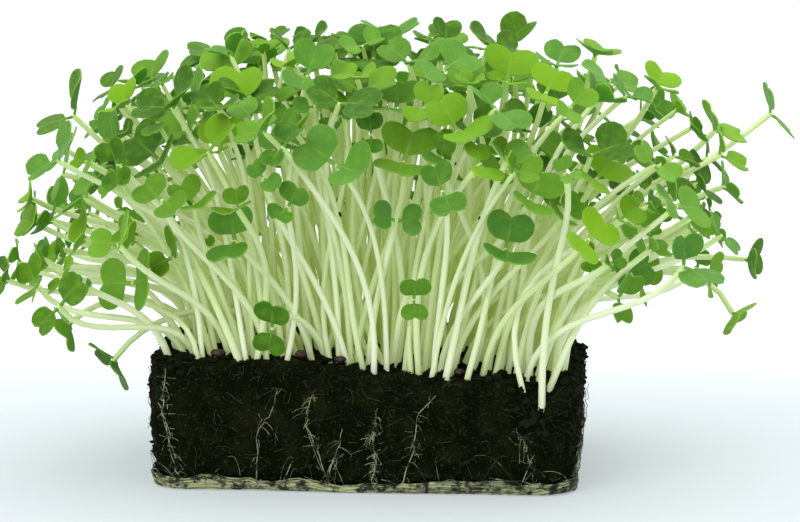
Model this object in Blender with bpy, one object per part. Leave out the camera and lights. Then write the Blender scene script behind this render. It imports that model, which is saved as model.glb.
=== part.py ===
"""A block of potting soil, lifted out of its tray, with a dense stand of young sprouts growing on it.

The block stands on its pale root mat. The origin is the middle of its underside, X runs along the front
from left to right, Y runs back and Z is up. All sizes are in metres.
"""

import math
import random

import bmesh
import bpy
from mathutils import Vector
from mathutils.bvhtree import BVHTree
from mathutils.geometry import interpolate_bezier

MM = 0.001
TOUCHING_GAP = 0.3 * MM

# Soil block
BLOCK_WIDTH = 98 * MM
BLOCK_DEPTH = 72 * MM
BLOCK_HEIGHT_LEFT = 31.0 * MM
BLOCK_HEIGHT_RIGHT = 25.0 * MM
CORNER_RADIUS = 9.5 * MM
CORNER_STEPS = 4
FRONT_STEPS = 10
SIDE_STEPS = 7
FOOT_TAPER = 1.9 * MM
FOOT_TAPER_TOP = 7 * MM
FLANK_SWELL = 0.6 * MM
FLANK_WAVE = 0.5 * MM
SHOULDER_DROP = 3.0 * MM
LIP_DROP = 0.36 * MM
LIP_INSET = 1.4 * MM
TOP_LUMP = 0.7 * MM
LUMP_SPACING = (9 * MM, 8 * MM)
LUMP_SHIFT = 0.7
TOP_RINGS = (0.90, 0.72, 0.50, 0.25)
NOTCH_PLACE = (40 * MM, -37 * MM)
NOTCH_REACH = (4.5 * MM, 6 * MM)
NOTCH_DEPTH = 11 * MM

# Root mat
MAT_FLOOR = 1.5 * MM
MAT_WALL = 1.3 * MM
MAT_CLEARANCE = 0.36 * MM
MAT_FOOT_HEIGHT = 1.0 * MM
MAT_FOOT_INSET = 0.81 * MM
MAT_RIM_MEAN = 3.0 * MM
MAT_RIM_WAVE = 0.95 * MM
MAT_RIM_INSET = 0.3 * MM
ROOT_HALF_WIDTH = 0.42 * MM
ROOT_TIP_SHARE = 0.75
ROOT_FOOT = 2 * MM
ROOT_STEPS = 4
OFF_AXIS = Vector((0.3, 0.2, 1.0))
SIDE_ROOT_SEED = 7
SIDE_ROOT_COUNT = 7
SIDE_ROOT_MARGIN = 14 * MM
SIDE_ROOT_TOP = (12 * MM, 23 * MM)
SIDE_ROOT_DRIFT = 2.5 * MM

# Waves along the block's outline: number round it, shift in radians, share of the wave's height
FLANK_WAVES = ((3, 0.6, 1.0), (7, 2.0, 0.6))
MAT_RIM_WAVES = ((5, 5.0, 1.0), (17, 0.0, 0.45))

# Roots on the front face, in millimetres: way along the front from its middle, then height
FRONT_ROOTS = (
    ((-44, 28), (-44.5, 19), (-43, 9), (-41, 2)),
    ((-19, 24), (-20, 19), (-23, 14), (-24, 2)),
    ((-10, 24), (-12, 18), (-10, 10), (-7, 2)),
    ((-4, 15), (-5, 11), (-6.5, 6), (-8, 2)),
    ((4, 20), (3, 14), (3.5, 8), (2, 2)),
    ((17, 23), (13, 18), (12, 10), (9, 2)),
    ((35, 16), (37, 12), (38.5, 7), (39, 2)),
    ((50, 13), (51, 9), (52, 6), (51, 2)),
)

# Sprouts
TUFT_COLUMNS = 9
TUFT_ROWS = 5
TUFT_PITCH = (9.7 * MM, 13.6 * MM)
ROW_STAGGER = 2.2 * MM
TUFT_JITTER = 1.0 * MM
FEET_APART = 3.3 * MM
FEET_TURN = 0.7
FOOT_TO_EDGE = 5 * MM
FOOT_TO_HEAD = 1.9
KNOT_DEPTH = 6 * MM
KNOT_OVERRUN = 1 * MM
KNOT_STUB = 0.01
STEM_HALF_FOOT = 0.72 * MM
STEM_HALF_TIP = 0.55 * MM
STEM_STEPS = 4
STEM_STEEPNESS = 2.0
STEM_HANDLE = 0.4
TIP_SEGMENT = 1.0 * MM
NEARLY_SIDEWAYS = 0.8
HOLE_HALF_LENGTH = 3.2 * MM
HOLE_HALF_WIDTH = 1.55 * MM
HOLE_ABOVE = 4 * MM
BLADE_THICK = 0.7 * MM
BLADE_LENGTH = 6.4 * MM
BLADE_HALF_WIDTH = 5.8 * MM
BLADE_STALK = 1.8 * MM
BLADE_STALK_HALF = 0.50 * MM
BLADE_SIDE = ((0.10, 0.72), (0.52, 1.0), (1.0, 0.55))
BLADE_NOTCH = 0.80
BLADE_MIDDLE = 0.45
BLADE_WIDTH_SPREAD = (0.9, 1.1)
SECOND_BLADE = (0.82, 1.0)
BLADE_FOLD = (0.02, 0.35)
BLADE_CURL = (-0.02, 0.22)
CLEARANCE = 0.35 * MM
STAND_TOP = 101 * MM
STAND_EDGE = 75 * MM
STAND_ROUND = 2.4
STAND_HALF_WIDTH = 84 * MM
STAND_HALF_DEPTH = 62 * MM
STAND_REACH = 80 * MM
SHORT_BY = 26 * MM
SHORT_SHARE_MIDDLE = 0.5
FAN_WIDTH = 1.75
FAN_DEPTH = 1.6
HEAD_SPREAD = 7 * MM
LEAN_REACH = 40 * MM
LEAN_ACROSS = (-0.4, 0.4)
LEAN_BACK = (-0.6, 0.2)
FREE_HALF_SPAN = (6.6 * MM, 9.0 * MM)
FREE_RAISED = (0.05, 0.8)
MARKED_SCALE = 1.22
MARKED_RAISED = (0.15, 0.7)
MARK_ABOVE_HEAD = 3 * MM
GROW_SEED = 41
GROW_TRIES = 60
RETRY_SHIFT = 0.25 * MM
RETRY_TURN = 0.05

# Sprouts set by hand: middle of the leaves, way the stem arrives, half span in millimetres, turn in degrees
MARKED_SPROUTS = (
    ((-71, -12, 85), (-6, -4, 7), 8.6, 20),
    ((-64, 0, 91), (-4, -1, 8), 5.0, 60),
    ((-57, -20, 88), (-4, -4, 7), 5.4, 80),
    ((-53, -6, 93), (-3, -4, 8), 6.6, 80),
    ((-49, 4, 94), (-2, -3, 9), 6.4, 10),
    ((-34, -14, 95), (-2, -5, 8), 8.0, 85),
    ((-29, -28, 87), (-1, -6, 7), 8.0, 75),
    ((-28, 6, 97), (-1, -3, 9), 7.2, 80),
    ((-62, -8, 79), (-6, -3, 6), 6.6, 10),
    ((-77, 6, 75), (-8, -2, 5), 5.6, 50),
    ((-75, -10, 70), (-8, -3, 2), 5.6, 80),
    ((-32, -38, 79), (-2, -6, 7), 7.0, 80),
    ((-69, 4, 68), (-7, -1, 5), 5.4, 20),
    ((-67, -22, 66), (-7, -4, 5), 7.2, 75),
    ((-67, -28, 59), (-7, -5, 2), 6.6, 80),
    ((-83, -4, 60), (-9, -1, 3), 5.2, 60),
    ((-79, -14, 47), (-9, -2, -1), 6.2, 70),
    ((-79, 6, 50), (-8, -1, 1), 5.0, 40),
    ((-55, -26, 57), (-6, -4, 2), 5.4, 0),
    ((-48, -32, 52), (-4, -5, 3), 5.6, 60),
    ((-53, -34, 47), (-4, -6, 2), 8.4, 5),
    ((-28, -44, 59), (-2, -6, 4), 6.4, 88),
    ((-71, -20, 34), (-5, -2, -5), 5.2, 40),
    ((-59, -28, 27), (-4, -3, -6), 5.8, 10),
    ((-10, 2, 100), (-1, -3, 9), 6.0, 85),
    ((1, -16, 99), (0, -5, 8), 7.4, 88),
    ((3, 8, 103), (0, -2, 9), 6.6, 10),
    ((15, 12, 101), (1, -2, 9), 6.0, 70),
    ((16, -12, 95), (0, -5, 8), 7.0, 0),
    ((7, -28, 88), (0, -6, 7), 7.0, 85),
    ((-6, -22, 89), (-1, -5, 8), 6.4, 20),
    ((-20, -30, 83), (-1, -6, 7), 5.6, 60),
    ((-17, -4, 95), (-1, -3, 9), 6.4, 15),
    ((10, -42, 77), (0, -6, 6), 8.4, 80),
    ((24, -34, 84), (2, -6, 6), 6.4, 10),
    ((32, -20, 94), (1, -5, 8), 7.2, 88),
    ((41, -26, 91), (2, -5, 8), 6.0, 80),
    ((43, 0, 97), (1, -3, 9), 6.0, 80),
    ((51, 6, 98), (2, -2, 9), 6.2, 70),
    ((67, -4, 92), (4, -3, 8), 5.6, 85),
    ((53, -36, 73), (3, -6, 6), 7.0, 60),
    ((60, -14, 77), (4, -4, 7), 6.8, 20),
    ((33, -36, 75), (2, -6, 6), 6.2, 40),
    ((37, -40, 66), (3, -5, 6), 6.6, 80),
    ((33, -46, 58), (1, -6, 4), 7.0, 85),
    ((46, -38, 65), (3, -5, 5), 5.2, 50),
    ((63, -24, 61), (6, -4, 5), 6.2, 75),
    ((80, -8, 65), (7, -2, 5), 6.4, 70),
    ((71, -20, 69), (6, -4, 6), 6.8, 20),
    ((82, 4, 74), (6, 0, 6), 6.0, 80),
    ((95, 8, 85), (7, -1, 6), 6.0, 10),
    ((92, -6, 76), (8, -1, 3), 4.8, 70),
    ((62, -28, 52), (6, -4, 3), 5.6, 40),
    ((67, -16, 44), (7, -3, 0), 5.4, 20),
    ((59, -34, 44), (4, -4, -2), 5.6, 60),
    ((85, -10, 36), (3, -2, -7), 5.6, 80),
    ((90, 4, 49), (9, 0, -1), 5.4, 10),
    ((80, -12, 47), (7, -2, -2), 5.0, 40),
    ((9, -46, 64), (1, -6, 3), 4.6, 0),
    ((13, -48, 45), (1, -6, -2), 4.6, 85),
    ((-19, -48, 38), (-1, -6, -3), 5.6, 85),
    ((56, -10, 94), (3, -3, 8), 6.2, 15),
)

# Seed husks on the soil, in millimetres: place, turn in degrees, half length
SEED_HUSKS = (
    ((-33, -31), 20, 2.0),
    ((-14, -31), 75, 2.0),
    ((-5, -32), -30, 1.7),
    ((22, -31), 50, 1.6),
    ((12, 33), 10, 1.8),
)
HUSK_WIDTH = 0.72
HUSK_HEIGHT = 0.5
HUSK_NARROWING = 0.25
HIGH_ABOVE = 0.1


def clear_scene():
    for item in list(bpy.data.objects):
        bpy.data.objects.remove(item, do_unlink=True)


def make_material(name, colour, roughness):
    material = bpy.data.materials.new(name)
    material.use_nodes = True
    shader = material.node_tree.nodes["Principled BSDF"]
    shader.inputs["Base Color"].default_value = (*colour, 1.0)
    shader.inputs["Roughness"].default_value = roughness
    shader.inputs["Metallic"].default_value = 0.0
    material.diffuse_color = (*colour, 1.0)
    return material


def make_object(name, verts, faces, materials, smooth_angle=None):
    """An object from a closed mesh, with its faces turned outwards."""
    mesh = bpy.data.meshes.new(name)
    mesh.from_pydata(verts, [], faces)
    shell = bmesh.new()
    shell.from_mesh(mesh)
    bmesh.ops.recalc_face_normals(shell, faces=shell.faces)
    shell.to_mesh(mesh)
    shell.free()
    for material in materials:
        mesh.materials.append(material)
    if smooth_angle is not None:
        mesh.shade_smooth()
        mesh.set_sharp_from_angle(angle=smooth_angle)
    item = bpy.data.objects.new(name, mesh)
    bpy.context.scene.collection.objects.link(item)
    return item


def boolean_with(item, others, operation):
    """Join or cut an object with a collection of others, apply the result and remove the others."""
    group = bpy.data.collections.new(item.name + "_group")
    for other in others:
        group.objects.link(other)
    modifier = item.modifiers.new(operation.title(), "BOOLEAN")
    modifier.operation = operation
    modifier.operand_type = "COLLECTION"
    modifier.collection = group
    modifier.solver = "EXACT"
    with bpy.context.temp_override(object=item, active_object=item, selected_objects=[item]):
        bpy.ops.object.modifier_apply(modifier=modifier.name)
    for other in others:
        bpy.data.objects.remove(other, do_unlink=True)
    bpy.data.collections.remove(group)


# The block's outline

def outline_length():
    straight = 2 * (BLOCK_WIDTH + BLOCK_DEPTH) - 8 * CORNER_RADIUS
    return straight + 2 * math.pi * CORNER_RADIUS


def outline_point(way):
    """Place and outward direction at a way along the outline, from the front's middle to the right."""
    half_front = BLOCK_WIDTH / 2 - CORNER_RADIUS
    half_side = BLOCK_DEPTH / 2 - CORNER_RADIUS
    corner = math.pi / 2 * CORNER_RADIUS
    way = (way + half_front) % outline_length()
    heading = 0.0
    place = Vector((-half_front, -BLOCK_DEPTH / 2))
    for straight in (2 * half_front, 2 * half_side, 2 * half_front, 2 * half_side):
        along = Vector((math.cos(heading), math.sin(heading)))
        outward = Vector((along.y, -along.x))
        if way <= straight:
            return place + along * way, outward
        way -= straight
        place = place + along * straight
        if way <= corner:
            turn = way / CORNER_RADIUS
            centre = place - outward * CORNER_RADIUS
            outward = outward * math.cos(turn) + along * math.sin(turn)
            return centre + outward * CORNER_RADIUS, outward
        way -= corner
        place = place - outward * CORNER_RADIUS + along * CORNER_RADIUS
        heading += math.pi / 2
    return place, outward


def outline_ways():
    """Ways along the outline, evenly spread on each straight side and each corner."""
    front = (BLOCK_WIDTH - 2 * CORNER_RADIUS, FRONT_STEPS)
    side = (BLOCK_DEPTH - 2 * CORNER_RADIUS, SIDE_STEPS)
    corner = (math.pi / 2 * CORNER_RADIUS, CORNER_STEPS)
    ways = []
    start = -front[0] / 2
    for length, steps in (front, corner, side, corner) * 2:
        ways += [start + length * step / steps for step in range(steps)]
        start += length
    return ways


def wave_along(way, waves):
    around = 2 * math.pi * way / outline_length()
    return sum(share * math.sin(number * around + shift) for number, shift, share in waves)


def flank_offset(way, height):
    """How far the soil's side stands out from the plain outline."""
    wave = FLANK_WAVE * wave_along(way, FLANK_WAVES)
    if height < FOOT_TAPER_TOP:
        return wave - FOOT_TAPER * (FOOT_TAPER_TOP - height) / FOOT_TAPER_TOP
    rise = (height - FOOT_TAPER_TOP) / (BLOCK_HEIGHT_LEFT - FOOT_TAPER_TOP)
    return wave + FLANK_SWELL * math.sin(math.pi * min(rise, 1.0))


def flank_point(way, height, proud):
    """A point that stands a little proud of the soil's side."""
    place, outward = outline_point(way)
    place = place + outward * (flank_offset(way, height) + proud)
    return Vector((place.x, place.y, height))


def soil_top(x, y):
    """Height of the soil's upper face: lumpy, falling to the right, and broken away at the front right."""
    across = x / BLOCK_WIDTH + 0.5
    height = BLOCK_HEIGHT_LEFT + (BLOCK_HEIGHT_RIGHT - BLOCK_HEIGHT_LEFT) * across
    height += TOP_LUMP * math.sin(x / LUMP_SPACING[0]) * math.cos(y / LUMP_SPACING[1] + LUMP_SHIFT)
    far_x = (x - NOTCH_PLACE[0]) / NOTCH_REACH[0]
    far_y = (y - NOTCH_PLACE[1]) / NOTCH_REACH[1]
    return height - NOTCH_DEPTH * math.exp(-far_x * far_x - far_y * far_y)


def loft(rings, close_with=None):
    """Closed skin over rings of points: quads between rings, one face or a fan to a point at each end."""
    count = len(rings[0])
    verts = [tuple(point) for ring in rings for point in ring]
    faces = []
    for level in range(len(rings) - 1):
        low = level * count
        for step in range(count):
            after = (step + 1) % count
            faces.append((low + step, low + after, low + count + after, low + count + step))
    faces.append(tuple(reversed(range(count))))
    last = (len(rings) - 1) * count
    if close_with is None:
        faces.append(tuple(range(last, last + count)))
    else:
        verts.append(tuple(close_with))
        for step in range(count):
            faces.append((last + step, last + (step + 1) % count, len(verts) - 1))
    return verts, faces


def make_soil(material):
    """The pressed block of soil, without the holes that the stems stand in."""
    ways = outline_ways()
    rings = []
    for height in (MAT_FLOOR + TOUCHING_GAP, FOOT_TAPER_TOP):
        rings.append([flank_point(way, height, 0.0) for way in ways])
    waist = []
    shoulder = []
    lip = []
    for way in ways:
        edge = flank_point(way, BLOCK_HEIGHT_LEFT / 2, 0.0)
        height = soil_top(edge.x, edge.y)
        waist.append(flank_point(way, (FOOT_TAPER_TOP + height - SHOULDER_DROP) / 2, 0.0))
        shoulder.append(flank_point(way, height - SHOULDER_DROP, 0.0))
        lip.append(flank_point(way, height - LIP_DROP, -LIP_INSET))
    rings += [waist, shoulder, lip]
    for share in TOP_RINGS:
        rings.append([Vector((p.x * share, p.y * share, soil_top(p.x * share, p.y * share))) for p in lip])
    verts, faces = loft(rings, Vector((0, 0, soil_top(0, 0))))
    return make_object("soil_block", verts, faces, [material])


# The root mat

def tube(line, half_widths, side):
    """A four-sided tube along a line of points; side is the direction of one of its flanks at the end."""
    rings = []
    last = len(line) - 1
    for step in range(last, -1, -1):
        ahead = line[min(step + 1, last)] - line[max(step - 1, 0)]
        ahead.normalize()
        side = (side - ahead * side.dot(ahead)).normalized()
        across = ahead.cross(side)
        half = half_widths[step]
        corners = ((1, 1), (-1, 1), (-1, -1), (1, -1))
        rings.insert(0, [line[step] + (side * a + across * b) * half for a, b in corners])
    return loft(rings)


def make_root(name, line, material):
    """One root on a face of the block: thick at the foot, thin at its upper end."""
    last = len(line) - 1
    tip = ROOT_HALF_WIDTH * ROOT_TIP_SHARE
    halves = [tip + (ROOT_HALF_WIDTH - tip) * step / last for step in range(last + 1)]
    verts, faces = tube(line, halves, OFF_AXIS.cross(line[last] - line[last - 1]).normalized())
    return make_object(name, verts, faces, [material])


def root_lines():
    """Lines of the roots on the front, then of roots by rule on the right, back and left."""
    proud = TOUCHING_GAP + ROOT_HALF_WIDTH * 2
    draw = random.Random(SIDE_ROOT_SEED)
    lines = []
    for marks in FRONT_ROOTS:
        lines.append([flank_point(way * MM, height * MM, proud) for way, height in marks])
    first = BLOCK_WIDTH / 2 + SIDE_ROOT_MARGIN
    spread = outline_length() - BLOCK_WIDTH - 2 * SIDE_ROOT_MARGIN
    for number in range(SIDE_ROOT_COUNT):
        way = first + spread * (number + 0.5) / SIDE_ROOT_COUNT
        top = draw.uniform(*SIDE_ROOT_TOP)
        marks = []
        for step in range(ROOT_STEPS):
            drop = step / (ROOT_STEPS - 1)
            drift = draw.uniform(-SIDE_ROOT_DRIFT, SIDE_ROOT_DRIFT)
            marks.append((way + drift, top + (ROOT_FOOT - top) * drop))
        lines.append([flank_point(side_way, height, proud) for side_way, height in marks])
    return lines


def mat_rim(way):
    return MAT_RIM_MEAN + MAT_RIM_WAVE * wave_along(way, MAT_RIM_WAVES)


def make_root_mat(material):
    """The felt of roots: a shallow dish under the soil with a wavy rim, and the roots that climb from it."""
    ways = outline_ways()
    outer = MAT_CLEARANCE + MAT_WALL
    verts, faces = loft([
        [flank_point(way, 0.0, outer - MAT_FOOT_INSET) for way in ways],
        [flank_point(way, MAT_FOOT_HEIGHT, outer) for way in ways],
        [flank_point(way, mat_rim(way), outer - MAT_RIM_INSET) for way in ways],
        [flank_point(way, mat_rim(way), MAT_CLEARANCE) for way in ways],
        [flank_point(way, MAT_FLOOR, MAT_CLEARANCE) for way in ways],
    ])
    mat = make_object("root_mat", verts, faces, [material])
    roots = []
    for number, line in enumerate(root_lines()):
        roots.append(make_root("root_%02d" % number, line, material))
    boolean_with(mat, roots, "UNION")
    return mat


# Sprouts

def foot_places():
    """Pairs of feet, one pair for each tuft, on a staggered grid over the soil."""
    draw = random.Random(GROW_SEED)
    limit = Vector((BLOCK_WIDTH / 2 - FOOT_TO_EDGE, BLOCK_DEPTH / 2 - FOOT_TO_EDGE))
    pairs = []
    for row in range(TUFT_ROWS):
        for column in range(TUFT_COLUMNS):
            x = (column - (TUFT_COLUMNS - 1) / 2) * TUFT_PITCH[0] + (row % 2 - 0.5) * ROW_STAGGER
            y = (row - (TUFT_ROWS - 1) / 2) * TUFT_PITCH[1]
            x += draw.uniform(-1, 1) * TUFT_JITTER
            y += draw.uniform(-1, 1) * TUFT_JITTER
            turn = draw.uniform(-FEET_TURN, FEET_TURN)
            reach = Vector((math.cos(turn), math.sin(turn))) * FEET_APART / 2
            pair = []
            for foot in (Vector((x, y)) - reach, Vector((x, y)) + reach):
                foot.x = max(-limit.x, min(limit.x, foot.x))
                foot.y = max(-limit.y, min(limit.y, foot.y))
                pair.append(Vector((foot.x, foot.y, soil_top(foot.x, foot.y))))
            pairs.append(pair)
    return pairs


def knot_of(pair):
    """The point under ground where the two stems of a tuft run together."""
    middle = (pair[0] + pair[1]) / 2
    return Vector((middle.x, middle.y, min(pair[0].z, pair[1].z) - KNOT_DEPTH))


def stem_line(sprout):
    """Points from the knot up through the foot, which the stem leaves steeply, to the head."""
    knot, foot, head, arrive = sprout["knot"], sprout["foot"], sprout["head"], sprout["arrive"]
    below = knot + (knot - foot).normalized() * KNOT_OVERRUN
    lean = (head - foot).normalized()
    rise = (lean + Vector((0, 0, STEM_STEEPNESS))).normalized()
    reach = (head - foot).length * STEM_HANDLE
    curve = interpolate_bezier(foot, foot + rise * reach, head - arrive * reach, head, STEM_STEPS + 1)
    return [below] + list(curve) + [head + arrive * TIP_SEGMENT]


def blade_outline(length, half_width, stalk, grow):
    """One side of a notched seed leaf, from its stalk to the notch: way out and way across."""
    side = [(stalk, BLADE_STALK_HALF + grow)]
    for out, across in BLADE_SIDE:
        side.append((stalk + (length + grow) * out, half_width * across + grow))
    side.append((stalk + length * BLADE_NOTCH + grow, 0.0))
    return side


def add_blade(verts, faces, gate, seat, blade, grow):
    """A seed leaf on the four corners of a gate in the stem's side: lower two, then upper two."""
    origin, out, across, up = seat
    length, half_width, stalk, fold, curl = blade
    side = blade_outline(length, half_width, stalk, grow)
    points = side + [(u, -v) for u, v in reversed(side[:-1])]
    points.append((stalk + length * BLADE_MIDDLE, 0.0))
    first = len(verts)
    thick = BLADE_THICK + 2 * grow
    for face in (0.5, -0.5):
        for u, v in points:
            far = (u - stalk) / length
            height = fold * abs(v) - curl * far * far * length + face * thick
            verts.append(tuple(origin + out * u + across * v + up * height))
    count = len(points)
    middle = count - 1
    end = middle - 1
    for step in range(end):
        faces.append((first + step, first + step + 1, first + middle))
        faces.append((first + count + step, first + count + step + 1, first + count + middle))
        faces.append((first + step, first + step + 1, first + count + step + 1, first + count + step))
    faces.append((first + end, first, first + middle))
    faces.append((first + count + end, first + count, first + count + middle))
    low_plus, low_minus, high_plus, high_minus = gate
    top_plus, top_minus = first, first + end
    under_plus, under_minus = first + count, first + count + end
    for quad in (
        (high_plus, high_minus, top_minus, top_plus),
        (low_plus, low_minus, under_minus, under_plus),
        (low_plus, high_plus, top_plus, under_plus),
        (low_minus, high_minus, top_minus, under_minus),
    ):
        faces.append((quad[0], quad[1], quad[2]))
        faces.append((quad[0], quad[2], quad[3]))


def spread_direction(arrive, turn):
    """The direction of the first seed leaf: level for a turn of 0, then turned about the stem's tip."""
    start = Vector((1, 0, 0)) if abs(arrive.x) < NEARLY_SIDEWAYS else Vector((0, 1, 0))
    start = (start - arrive * start.dot(arrive)).normalized()
    return start * math.cos(turn) + arrive.cross(start) * math.sin(turn)


def leaf_seats(sprout, line):
    """Origin, way out, way across and way up of each of a sprout's two seed leaves."""
    last = len(line) - 1
    tip = (line[last] + line[last - 1]) / 2
    axis = (line[last] - line[last - 2]).normalized()
    side = spread_direction(sprout["arrive"], sprout["turn"])
    side = (side - axis * side.dot(axis)).normalized()
    seats = []
    for way, raised in zip((1, -1), sprout["raised"]):
        flat = side * way
        out = flat * math.cos(raised) + axis * math.sin(raised)
        up = axis * math.cos(raised) - flat * math.sin(raised)
        seats.append((tip, out, axis.cross(side), up))
    return seats


def sprout_shell(sprout, grow=0.0):
    """Points and faces of one sprout, all in one skin; grow makes it fatter all over to test for room."""
    line = stem_line(sprout)
    last = len(line) - 1
    halves = []
    for step in range(last + 1):
        halves.append(STEM_HALF_FOOT + (STEM_HALF_TIP - STEM_HALF_FOOT) * step / last + grow)
    verts, faces = tube(line, halves, spread_direction(sprout["arrive"], sprout["turn"]))
    corner = 4 * last
    gates = (
        (corner - 4, corner - 1, corner, corner + 3),
        (corner - 3, corner - 2, corner + 1, corner + 2),
    )
    open_quads = [set(gate) for gate in gates]
    faces = [face for face in faces if set(face) not in open_quads]
    for gate, blade, seat in zip(gates, sprout["blades"], leaf_seats(sprout, line)):
        add_blade(verts, faces, gate, seat, blade, grow)
    return verts, faces


def draw_blades(draw, half_span):
    """Lengths, half widths, stalks, folds and curls of a pair of seed leaves, one a little smaller."""
    blades = []
    for share in (1.0, draw.uniform(*SECOND_BLADE)):
        size = share * half_span / (BLADE_LENGTH + BLADE_STALK)
        blades.append((
            BLADE_LENGTH * size,
            BLADE_HALF_WIDTH * size * draw.uniform(*BLADE_WIDTH_SPREAD),
            BLADE_STALK * size,
            draw.uniform(*BLADE_FOLD),
            draw.uniform(*BLADE_CURL),
        ))
    return blades


def marked_sprout(draw, mark, knot, foot, attempt):
    """A sprout with its leaves where they are marked, shifted a little more with each attempt."""
    (x, y, z), arrive, half_span, turn = mark
    shift = attempt * RETRY_SHIFT
    arrive = Vector(arrive).normalized()
    head = Vector((x, y, z)) * MM - arrive * MARK_ABOVE_HEAD
    head += Vector((draw.uniform(-1, 1), draw.uniform(-1, 1), draw.uniform(-1, 1))) * shift
    return {
        "knot": knot,
        "foot": foot,
        "head": head,
        "arrive": arrive,
        "turn": math.radians(turn) + draw.uniform(-1, 1) * RETRY_TURN * attempt,
        "raised": (draw.uniform(*MARKED_RAISED), draw.uniform(*MARKED_RAISED)),
        "blades": draw_blades(draw, half_span * MARKED_SCALE * MM),
    }


def free_sprout(draw, knot, foot, attempt):
    """A sprout by the rule of the stand: it leans out more the further its foot is from the middle."""
    spread = HEAD_SPREAD + attempt * RETRY_SHIFT
    x = foot.x * FAN_WIDTH + draw.uniform(-1, 1) * spread
    x = max(-STAND_REACH, min(STAND_REACH, x))
    y = foot.y * FAN_DEPTH + draw.uniform(-1, 1) * spread
    far = min(1.0, math.hypot(x / STAND_HALF_WIDTH, y / STAND_HALF_DEPTH))
    short_by = SHORT_BY * (SHORT_SHARE_MIDDLE + abs(x) / STAND_HALF_WIDTH)
    z = STAND_TOP - (STAND_TOP - STAND_EDGE) * far ** STAND_ROUND - draw.random() ** 2 * short_by
    lean = Vector((x - foot.x, y - foot.y, 0)) / LEAN_REACH
    arrive = lean + Vector((draw.uniform(*LEAN_ACROSS), draw.uniform(*LEAN_BACK), 1.0))
    return {
        "knot": knot,
        "foot": foot,
        "head": Vector((x, y, z)),
        "arrive": arrive.normalized(),
        "turn": draw.uniform(-math.pi / 2, math.pi / 2),
        "raised": (draw.uniform(*FREE_RAISED), draw.uniform(*FREE_RAISED)),
        "blades": draw_blades(draw, draw.uniform(*FREE_HALF_SPAN)),
    }


def outwardness(mark):
    place = mark[0]
    return abs(place[0]) + abs(place[1])


def claim_feet(pairs):
    """The foot of each marked sprout, outer ones first: the nearest free one to half way in from its head."""
    claimed = {}
    for mark in sorted(MARKED_SPROUTS, key=outwardness, reverse=True):
        wanted = Vector(mark[0][:2]) * MM / FOOT_TO_HEAD
        free = []
        for tuft, pair in enumerate(pairs):
            for number, foot in enumerate(pair):
                if (tuft, number) not in claimed:
                    free.append(((foot.xy - wanted).length, tuft, number))
        _, tuft, number = min(free)
        claimed[(tuft, number)] = mark
    return claimed


def room_tree(sprout, grow):
    """Search tree of the part of a sprout that stands above ground."""
    above = dict(sprout, knot=sprout["foot"] + (sprout["foot"] - sprout["knot"]) * KNOT_STUB)
    return BVHTree.FromPolygons(*sprout_shell(above, grow))


def grow_stand(pairs, trees):
    """All sprouts, each drawn again until it stands clear of those before it; trees takes them in."""
    draw = random.Random(GROW_SEED + 1)
    claimed = claim_feet(pairs)
    places = [(tuft, number) for tuft in range(len(pairs)) for number in range(2)]
    places.sort(key=lambda place: place not in claimed)
    tufts = {tuft: [] for tuft in range(len(pairs))}
    for tuft, number in places:
        knot = knot_of(pairs[tuft])
        foot = pairs[tuft][number]
        for attempt in range(GROW_TRIES):
            if (tuft, number) in claimed:
                sprout = marked_sprout(draw, claimed[(tuft, number)], knot, foot, attempt)
            else:
                sprout = free_sprout(draw, knot, foot, attempt)
            fat = room_tree(sprout, CLEARANCE)
            if not any(fat.overlap(tree) for tree in trees):
                trees.append(room_tree(sprout, 0.0))
                tufts[tuft].append(sprout)
                break
        else:
            print("no room for a sprout in tuft", tuft + 1)
    return tufts


def make_tuft(name, sprouts, materials):
    """A tuft of sprouts whose stems run together under ground, as one body."""
    parts = []
    for number, sprout in enumerate(sprouts):
        verts, faces = sprout_shell(sprout)
        part = make_object("%s_%d" % (name, number), verts, faces, materials)
        stem_faces = 4 * (STEM_STEPS + 2)
        for polygon in part.data.polygons:
            polygon.material_index = 0 if polygon.index < stem_faces else 1
        parts.append(part)
    tuft = parts[0]
    tuft.name = name
    if len(parts) > 1:
        boolean_with(tuft, parts[1:], "UNION")
    return tuft


def hole_cutter(name, pair, material):
    """The plain slot that the two stems of a tuft stand in, open at the top."""
    knot = knot_of(pair)
    along = (pair[1] - pair[0]).xy.normalized()
    along = Vector((along.x, along.y, 0.0))
    line = [knot - Vector((0, 0, KNOT_OVERRUN + 2 * TOUCHING_GAP))]
    line.append(Vector((knot.x, knot.y, max(pair[0].z, pair[1].z) + HOLE_ABOVE)))
    across = Vector((-along.y, along.x, 0.0))
    rings = []
    for point in line:
        corners = ((1, 1), (-1, 1), (-1, -1), (1, -1))
        rings.append([point + along * HOLE_HALF_LENGTH * a + across * HOLE_HALF_WIDTH * b for a, b in corners])
    verts, faces = loft(rings)
    return make_object(name, verts, faces, [material])


# Seed husks

def husk_mesh(place, turn, half_length, height):
    """A small shell-shaped grain that lies on the soil."""
    shell = bmesh.new()
    bmesh.ops.create_uvsphere(shell, u_segments=8, v_segments=5, radius=half_length)
    for vert in shell.verts:
        vert.co.y *= HUSK_WIDTH * (1 - HUSK_NARROWING * vert.co.x / half_length)
        vert.co.z *= HUSK_HEIGHT
    verts = []
    for vert in shell.verts:
        x = vert.co.x * math.cos(turn) - vert.co.y * math.sin(turn) + place[0]
        y = vert.co.x * math.sin(turn) + vert.co.y * math.cos(turn) + place[1]
        verts.append((x, y, vert.co.z + height))
    faces = [tuple(vert.index for vert in face.verts) for face in shell.faces]
    shell.free()
    return verts, faces


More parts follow.
